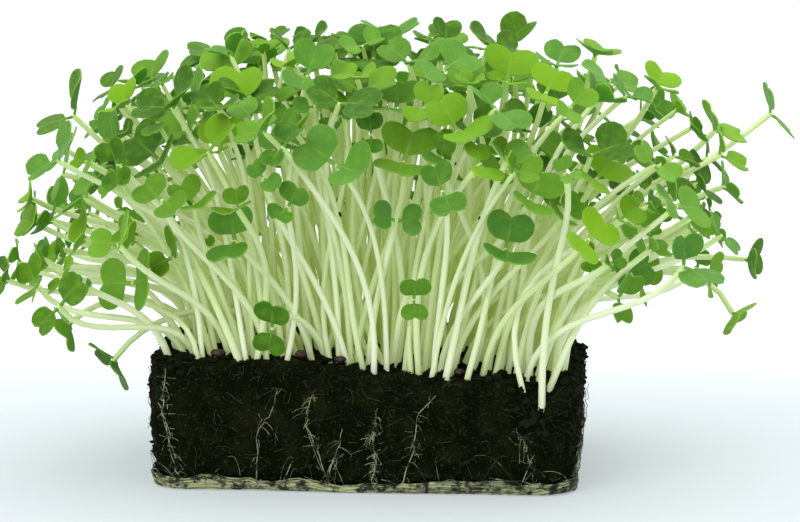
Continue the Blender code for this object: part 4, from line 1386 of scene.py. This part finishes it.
class MakeSoil(bpy.types.Operator):
    """Make the crumbly skin of the soil block"""
    bl_idname = "sprout_block.make_soil"
    bl_label = "Soil"

    def execute(self, context):
        settings = context.scene.sprout_soil
        floor = MAT_FLOOR + TOUCHING_GAP
        low = (-BLOCK_WIDTH / 2, -BLOCK_DEPTH / 2, floor)
        high = (BLOCK_WIDTH / 2, BLOCK_DEPTH / 2, BLOCK_HEIGHT_LEFT)
        soil = rounded_slab("soil", low, high, CORNER_RADIUS, 2.0 * MM, settings.grain)
        for vert in soil.data.vertices:
            place = vert.co
            way, out, near = way_of(place)
            share = (place.z - floor) / (BLOCK_HEIGHT_LEFT - floor)
            height = floor + share * (soil_top(place.x, place.y) - floor)
            push = out * (flank_offset(way, height) * near)
            vert.co = (place.x + push.x, place.y + push.y, height)
        displace(soil, "CLOUDS", 6.5 * MM, 1.2 * MM, 0.5)
        displace(soil, "VORONOI", 2.4 * MM, -1.3 * MM, 0.35)
        displace(soil, "CLOUDS", 1.3 * MM, 0.8 * MM, 0.5)
        for vert in soil.data.vertices:
            vert.co.z = max(MAT_FLOOR, vert.co.z)
        soil.data.shade_smooth()
        soil.data.materials.append(soil_material(settings))
        finish_piece(soil, ["soil_block"])
        return {"FINISHED"}


def surface_spots(item, count, draw, wanted):
    """Seeded places on a skin, with their normals, more of them where the weight is larger."""
    mesh = item.data
    weights = [face.area * wanted(face.center, face.normal) for face in mesh.polygons]
    faces = draw.choices(range(len(weights)), weights=weights, k=count)
    spots = []
    for number in faces:
        face = mesh.polygons[number]
        corners = [mesh.vertices[index].co for index in face.vertices[:3]]
        a, b = draw.random(), draw.random()
        if a + b > 1:
            a, b = 1 - a, 1 - b
        place = corners[0] + (corners[1] - corners[0]) * a + (corners[2] - corners[0]) * b
        spots.append((place, face.normal.copy()))
    return spots


FIBRE_PARTS = 5
LIP_REACH = 3 * MM
# Size of a crumb in millimetres: the smallest, and what is added at most on the open soil and near its lip
CRUMB_SMALLEST = 0.20
CRUMB_GROWTH = 0.5
CRUMB_GROWTH_AT_LIP = 0.9


class ScatterCrumbs(bpy.types.Operator):
    """Scatter crumbs and fine fibres over the soil"""
    bl_idname = "sprout_block.scatter_crumbs"
    bl_label = "Crumbs and fibres"

    def execute(self, context):
        settings = context.scene.sprout_soil
        soil = bpy.data.objects["soil"]
        draw = random.Random(23)

        crumb = model_crumb()

        def near_lip(place, normal):
            return abs(place.z - soil_top(place.x, place.y)) < LIP_REACH and normal.z < 0.95

        def crumb_weight(place, normal):
            return 0.0 if normal.z < -0.5 else (4.0 if near_lip(place, normal) else 1.0)

        def felt_weight(place, normal):
            return 1.0 if place.z > 0.8 * MM and normal.z > -0.2 else 0.0

        heap = Heap()
        spots = surface_spots(soil, settings.crumbs, draw, crumb_weight)
        spots += surface_spots(bpy.data.objects["root_felt"], settings.crumbs // 5, draw, felt_weight)
        for place, normal in spots:
            growth = CRUMB_GROWTH_AT_LIP if near_lip(place, normal) else CRUMB_GROWTH
            size = (CRUMB_SMALLEST + growth * draw.random() ** 3) * MM
            pale = draw.random() ** 2 * max(0.1, 1.0 - size / (0.55 * MM))
            turn = Matrix.Rotation(draw.uniform(0, math.tau), 3, "Z")
            turn = Matrix.Rotation(draw.uniform(0, math.tau), 3, "X") @ turn
            stretch = Vector((size * draw.uniform(0.7, 1.6), size, size * draw.uniform(0.35, 0.9)))
            centre = place + normal * size * 0.5
            places = [centre + turn @ (vert * stretch) for vert in crumb.verts]
            heap.add(places, crumb, (pale, 0.0))
        crumbs = heap.make("soil_crumbs", [crumb_material(settings)], math.radians(30))
        finish_piece(crumbs)

        rod = model_rod(3, FIBRE_PARTS)
        heap = Heap()

        def fibre_weight(place, normal):
            return 0.0 if normal.z < -0.4 else (1.0 if normal.z < 0.6 else 0.5)

        for place, normal in surface_spots(soil, settings.fibres, draw, fibre_weight):
            length = (1.0 + 4.5 * draw.random() ** 2) * MM
            heading = Vector((draw.gauss(0, 1), draw.gauss(0, 1), draw.gauss(0, 1)))
            heading = (heading - normal * heading.dot(normal)).normalized()
            bend = normal.cross(heading) * draw.uniform(-0.5, 0.5)
            radius = draw.uniform(0.035, 0.09) * MM
            line = []
            for step in range(FIBRE_PARTS + 1):
                share = step / FIBRE_PARTS - 0.5
                lift = (0.1 + draw.uniform(-0.1, 0.4)) * MM
                line.append(place + (heading * share + bend * share * share) * length + normal * lift)
            heap.add(lay_rod(rod, line, [radius] * (FIBRE_PARTS + 1)), rod, (draw.random() ** 1.5, 0.0))
        fibres = heap.make("soil_fibres", [fibre_material()])
        finish_piece(fibres)
        return {"FINISHED"}


def smooth_line(marks, count):
    """A line of count points that runs smoothly through a few marks."""
    points = [marks[0]] + list(marks) + [marks[-1]]
    spans = len(marks) - 1
    line = []
    for step in range(count):
        at = spans * step / (count - 1)
        index = min(int(at), spans - 1)
        t = at - index
        a, b, c, d = points[index:index + 4]
        line.append(0.5 * (2 * b + (c - a) * t + (2 * a - 5 * b + 4 * c - d) * t * t
                           + (3 * b - a - 3 * c + d) * t * t * t))
    return line


# Fine hairs that a root on a face may carry, and the parts that each kind of line is laid in
ROOT_HAIRS = (12, 30, 70)
ROOT_PARTS = 14
THREAD_PARTS = 12
HAIR_PARTS = 4
FELT_TOP = 5 * MM
FELT_CELL = 0.7 * MM
LOWEST_THREAD = 0.35 * MM


def frayed(way):
    """How much of its height the rim of the root mat keeps at a way along the outline."""
    coarse = noise.noise(Vector((way / (9 * MM), 0.0, 3.0)))
    fine = noise.noise(Vector((way / (2.2 * MM), 5.0, 0.0)))
    return max(0.35, min(1.05, 0.8 + 0.55 * coarse + 0.3 * fine))


class GrowRootMat(bpy.types.Operator):
    """Grow the felt of roots at the foot of the block and the roots that climb its faces"""
    bl_idname = "sprout_block.grow_root_mat"
    bl_label = "Root mat"

    def execute(self, context):
        settings = context.scene.sprout_soil
        draw = random.Random(31)
        mat = self.make_felt(settings)
        main_rod = model_rod(6, ROOT_PARTS)
        heap = Heap()
        lines = root_lines()
        for line in lines:
            path = smooth_line(line, ROOT_PARTS + 1)
            for step in range(1, ROOT_PARTS):
                shift = Vector((draw.gauss(0, 1), draw.gauss(0, 1) * 0.3, draw.gauss(0, 1)))
                path[step] = path[step] + shift * 0.22 * MM
            radii = [ROOT_HALF_WIDTH * (0.14 + 0.20 * step / ROOT_PARTS) for step in range(ROOT_PARTS + 1)]
            heap.add(lay_rod(main_rod, path, radii), main_rod, (draw.uniform(0.25, 0.7), 0.0))
        roots = heap.make("face_roots", [thread_material(settings)])
        deselect_all()
        roots.select_set(True)
        mat.select_set(True)
        context.view_layer.objects.active = mat
        bpy.ops.object.join()
        finish_piece(mat, ["root_mat"])

        threads = self.make_threads(settings, draw, lines)
        threads.data.materials.clear()
        threads.data.materials.append(mat.data.materials[1])
        finish_piece(threads)
        return {"FINISHED"}

    def make_felt(self, settings):
        half_x = BLOCK_WIDTH / 2
        half_y = BLOCK_DEPTH / 2
        low, high = (-half_x, -half_y, 0.0), (half_x, half_y, FELT_TOP)
        mat = rounded_slab("root_felt", low, high, CORNER_RADIUS, 0.6 * MM, FELT_CELL)
        for vert in mat.data.vertices:
            place = vert.co
            way, out, near = way_of(place)
            rim = mat_rim(way) * frayed(way)
            inside = max(0.0, min(1.0, (1.0 - near) * CORNER_RADIUS / (1.0 * MM)))
            reach = rim + (MAT_FLOOR - rim) * inside
            height = place.z / FELT_TOP * reach
            rounded = max(0.0, 1.0 - height / (1.2 * MM))
            proud = flank_offset(way, height) + MAT_WALL + TOUCHING_GAP - rounded ** 2 * 1.0 * MM
            push = out * (proud * near)
            vert.co = (place.x + push.x, place.y + push.y, max(0.0, height))
        displace(mat, "CLOUDS", 1.6 * MM, 0.5 * MM, 0.7)
        for vert in mat.data.vertices:
            vert.co.z = max(0.0, vert.co.z)
        mat.data.shade_smooth()
        mat.data.materials.append(felt_material(settings))
        return mat

    def make_threads(self, settings, draw, lines):
        """Threads along the foot, strays above its rim, and the fine arms of the face roots."""
        rod = model_rod(4, THREAD_PARTS)
        heap = Heap()
        around = outline_length()
        for _ in range(settings.threads):
            start = draw.uniform(0, around)
            length = draw.uniform(12, 55) * MM
            level = draw.uniform(0.15, 1.1)
            drift = draw.uniform(-0.5, 0.5)
            proud = MAT_WALL + draw.uniform(-0.15, 0.35) * MM
            phase = draw.uniform(0, math.tau)
            line = []
            for step in range(THREAD_PARTS + 1):
                way = start + length * step / THREAD_PARTS
                height = mat_rim(way) * frayed(way) * (level + drift * (step / THREAD_PARTS - 0.5))
                height += 0.35 * MM * math.sin(phase + 0.9 * step)
                line.append(flank_point(way, max(LOWEST_THREAD, height), proud))
            radius = draw.uniform(0.05, 0.17) * MM
            heap.add(lay_rod(rod, line, [radius] * (THREAD_PARTS + 1)), rod, (draw.random(), 0.0))
        for _ in range(settings.threads // 6):
            way = draw.uniform(0, around)
            height = mat_rim(way) * 0.8
            climb = draw.uniform(1.5, 7.0) * MM
            run = draw.uniform(-9, 9) * MM
            bow = draw.uniform(-1, 1)
            line = []
            for step in range(THREAD_PARTS + 1):
                share = step / THREAD_PARTS
                level = height + climb * math.sin(share * math.pi * 0.6)
                line.append(flank_point(way + run * share + bow * share * share * 3 * MM, level, 0.65 * MM))
            radius = draw.uniform(0.05, 0.11) * MM
            radii = [radius * (1 - 0.06 * step) for step in range(THREAD_PARTS + 1)]
            heap.add(lay_rod(rod, line, radii), rod, (draw.random(), 0.0))
        for line in lines:
            path = smooth_line(line, 30)
            for _ in range(draw.randint(1, 3)):
                place = path[draw.randint(2, 26)]
                way, _, _ = way_of(place)
                run = draw.choice((-1, 1)) * draw.uniform(1.0, 4.0) * MM
                fall = draw.uniform(1.0, 5.0) * MM
                arm = []
                for step in range(THREAD_PARTS + 1):
                    share = step / THREAD_PARTS
                    level = max(1 * MM, place.z - fall * share + draw.gauss(0, 0.08) * MM)
                    arm.append(flank_point(way + run * math.sqrt(share), level, 0.6 * MM))
                radius = draw.uniform(0.04, 0.08) * MM
                radii = [radius * (1 - 0.05 * step) for step in range(THREAD_PARTS + 1)]
                heap.add(lay_rod(rod, arm, radii), rod, (draw.uniform(0.1, 0.6), 0.0))
            for _ in range(draw.choice((0, 1, 5))):
                start = draw.randint(8, 17)
                strand = path[start:start + THREAD_PARTS + 1]
                drift = draw.uniform(-0.9, 0.9) * MM
                spread = draw.uniform(-1.6, 1.6) * MM
                hair = []
                for step, place in enumerate(strand):
                    way, _, _ = way_of(place)
                    moved = way + drift + spread * step / THREAD_PARTS
                    hair.append(flank_point(moved, place.z, 0.65 * MM))
                radii = [draw.uniform(0.03, 0.06) * MM] * (THREAD_PARTS + 1)
                heap.add(lay_rod(rod, hair, radii), rod, (draw.uniform(0.3, 1.0), 0.0))
        hair_rod = model_rod(3, HAIR_PARTS)
        for line in lines:
            path = smooth_line(line, 30)
            for _ in range(draw.choice(ROOT_HAIRS)):
                place = path[draw.randint(3, 28)]
                way, _, _ = way_of(place)
                way += draw.gauss(0, 0.5) * MM
                run = draw.gauss(0, 1.3) * MM
                fall = draw.gauss(0.8, 1.2) * MM
                hair = []
                for step in range(HAIR_PARTS + 1):
                    share = step / HAIR_PARTS
                    level = max(1 * MM, place.z - fall * share * share)
                    hair.append(flank_point(way + run * share, level, (0.6 + 0.2 * draw.random()) * MM))
                radius = draw.uniform(0.025, 0.055) * MM
                radii = [radius] * (HAIR_PARTS + 1)
                heap.add(lay_rod(hair_rod, hair, radii), hair_rod, (draw.uniform(0.4, 1.0), 0.0))
        return heap.make("root_threads", [thread_material(settings)])


class LayHusks(bpy.types.Operator):
    """Lay the empty seed husks on the soil"""
    bl_idname = "sprout_block.lay_husks"
    bl_label = "Seed husks"

    def execute(self, context):
        deselect_all()
        bpy.ops.mesh.primitive_uv_sphere_add(segments=20, ring_count=12, radius=1.0)
        husk = context.object
        bpy.ops.object.mode_set(mode="EDIT")
        select_where(husk, "FACE", lambda face: face.calc_center_median().x > 0.55)
        bpy.ops.transform.resize(value=(1.0, 0.72, 0.8), center_override=(0.5, 0, 0))
        select_where(husk, "FACE", lambda face: face.calc_center_median().z > 0.62)
        bpy.ops.mesh.inset(thickness=0.12)
        bpy.ops.transform.translate(value=(0, 0, -0.35))
        bpy.ops.object.mode_set(mode="OBJECT")
        pattern = Pattern(husk)
        draw = random.Random(3)
        heap = Heap()
        for node in SEED_HUSK_NODES:
            low, high = (Vector(corner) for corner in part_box(node))
            middle = (low + high) / 2
            size = (high - low) / 2
            heap.add([middle + Vector((v.x * size.x, v.y * size.y, v.z * size.z)) for v in pattern.verts],
                     pattern, (draw.random(), 0.0))
        husks = heap.make("seed_husks", [husk_material()])
        finish_piece(husks, SEED_HUSK_NODES)
        return {"FINISHED"}


# The scene's sprouts: rings of a stem, its last ring's share of the width, how far a leaf departs from the
# solid's, the rounding of its fold, and the share of stems that carry a scrap of husk
STEM_RINGS = 13
STEM_TIP_SHARE = 0.55
LEAF_NARROWER = 0.94
LEAF_LONGER = 1.06
LEAF_CUP = (-0.07, 0.16)
LEAF_RIPPLE = (0.08, 0.42)
RIPPLE_TURNS = 5.0
FOLD_ROUND = 0.35 * MM
FOLD_SINK = 0.2 * MM
FLECK_SHARE = 0.05


def lay_fleck(heap, fleck, line, radius, draw):
    """A scrap of seed husk that sticks to the front of a stem."""
    step = draw.randint(2, len(line) - 4)
    around = draw.uniform(-1.2, 1.2)
    out = Vector((math.sin(around), -math.cos(around), 0.0))
    along = (line[step + 1] - line[step]).normalized()
    across = along.cross(out).normalized()
    size = draw.uniform(0.35, 0.8) * MM
    centre = line[step] + out * radius
    places = [centre + along * (v.x * size) + across * (v.y * size * 0.6) + out * (v.z * size * 0.35)
              for v in fleck.verts]
    heap.add(places, fleck, (draw.random(), 0.0), 3)


def sprout_places(heap, sprout, rod, blade, fleck, settings, draw):
    """Add one sprout to a tuft: its stem along its line, and its two leaves folded and curled."""
    fine = stem_line(sprout, STEM_RINGS - 2)
    slim = sprout.get("slim", 1.0) * settings.stem_scale
    last = len(fine) - 1
    radii = []
    for step in range(last + 1):
        radii.append((STEM_HALF_FOOT + (STEM_HALF_TIP - STEM_HALF_FOOT) * step / last) * slim)
    radii[last] *= STEM_TIP_SHARE
    # Tone, then a darkening of the leaves that is partly painted shade.
    tint = (draw.random(), draw.random() ** 2)
    heap.add(lay_rod(rod, fine, radii), rod, tint, 0)
    if draw.random() < FLECK_SHARE:
        lay_fleck(heap, fleck, fine, radii[last // 2], draw)
    coarse = stem_line(sprout, STEM_STEPS)
    for (origin, out, across, up), (length, half_width, stalk, fold, curl) in zip(
            leaf_seats(sprout, coarse), sprout["blades"]):
        cup = draw.uniform(*LEAF_CUP)
        ripple = draw.uniform(*LEAF_RIPPLE) * MM
        phase = draw.uniform(0, math.tau)
        places = []
        for vert in blade.verts:
            v = vert.x * half_width / BLADE_HALF_WIDTH * LEAF_NARROWER
            u = vert.y - BLADE_STALK
            far = max(0.0, u / BLADE_LENGTH)
            u = stalk + u * (LEAF_LONGER * length / BLADE_LENGTH if u > 0 else stalk / BLADE_STALK)
            rise = fold * (math.sqrt(v * v + FOLD_ROUND ** 2) - FOLD_SINK) - curl * far * far * length
            rise -= cup * v * v / half_width
            rise += ripple * far * math.sin(phase + RIPPLE_TURNS * v / half_width)
            places.append(origin + out * u + across * v + up * (rise + vert.z))
        heap.add(places, blade, tint, 1)


class GrowSprouts(bpy.types.Operator):
    """Grow the stand of sprouts, tuft by tuft"""
    bl_idname = "sprout_block.grow_sprouts"
    bl_label = "Sprouts"

    def execute(self, context):
        settings = context.scene.sprout_stand
        trees = []
        for node in SEED_HUSK_NODES:
            mesh = bpy.data.objects[node].data
            verts = [vert.co.copy() for vert in mesh.vertices]
            trees.append(BVHTree.FromPolygons(verts, [tuple(face.vertices) for face in mesh.polygons]))
        pairs = foot_places()
        tufts = grow_stand(pairs, trees)
        grow_neighbours(tufts, pairs, trees, settings.rounds)
        print("sprouts:", sum(len(sprouts) for sprouts in tufts.values()))
        rod = model_rod(8, STEM_RINGS)
        fleck = model_crumb()
        plain = model_blade(18, (0.36,), settings.leaf_thickness)
        fine = model_blade(24, (0.14, 0.36), settings.leaf_thickness)
        cool, warm, deep = tuple(settings.leaf_cool_and_sheen), tuple(settings.leaf_warm), tuple(settings.leaf_deep_and_shade)
        materials = [
            stem_material(settings),
            leaf_material("leaf_upper", cool, warm, deep, (0.27, 0.47, 0.10), 0.15),
            # Partly painted light: the under faces are brighter and yellower, partly their own paler green
            # and partly light through the leaf painted in.
            leaf_material("leaf_under", tuple(1.3 * part for part in cool), (0.22, 0.43, 0.03),
                          tuple(1.6 * part for part in deep), (0.32, 0.52, 0.10), 0.25),
            bpy.data.materials["seed_husk"],
        ]
        draw = random.Random(5)
        for tuft, sprouts in tufts.items():
            heap = Heap()
            for sprout in sprouts:
                blade = fine if sprout["marked"] else plain
                sprout_places(heap, sprout, rod, blade, fleck, settings, draw)
            piece = heap.make("sprouts_%02d" % (tuft + 1), materials)
            finish_piece(piece, ["tuft_%02d" % (tuft + 1)])
        return {"FINISHED"}


class SproutBlockPanel(bpy.types.Panel):
    """The steps that dress the block, in order"""
    bl_idname = "VIEW3D_PT_sprout_block"
    bl_label = "Sprout block"
    bl_space_type = "VIEW_3D"
    bl_region_type = "UI"
    bl_category = "Sprout block"

    def draw(self, context):
        column = self.layout.column()
        for operator in OPERATORS:
            column.operator(operator.bl_idname)
        for group in (context.scene.sprout_stand, context.scene.sprout_soil, context.scene.sprout_stage):
            box = self.layout.box()
            for name in group.__annotations__:
                box.prop(group, name)


OPERATORS = (LayStage, MakeSoil, GrowRootMat, ScatterCrumbs, LayHusks, GrowSprouts)
GROUPS = (SproutSettings, SoilSettings, StageSettings)


def register():
    for kind in GROUPS + OPERATORS + (SproutBlockPanel,):
        bpy.utils.register_class(kind)
    bpy.types.Scene.sprout_stand = bpy.props.PointerProperty(type=SproutSettings)
    bpy.types.Scene.sprout_soil = bpy.props.PointerProperty(type=SoilSettings)
    bpy.types.Scene.sprout_stage = bpy.props.PointerProperty(type=StageSettings)


def unregister():
    del bpy.types.Scene.sprout_stage
    del bpy.types.Scene.sprout_soil
    del bpy.types.Scene.sprout_stand
    for kind in reversed(GROUPS + OPERATORS + (SproutBlockPanel,)):
        bpy.utils.unregister_class(kind)


def main():
    register()
    bpy.ops.sprout_block.lay_stage()
    bpy.ops.sprout_block.make_soil()
    bpy.ops.sprout_block.grow_root_mat()
    bpy.ops.sprout_block.scatter_crumbs()
    bpy.ops.sprout_block.lay_husks()
    bpy.ops.sprout_block.grow_sprouts()


if __name__ == "__main__":
    main()
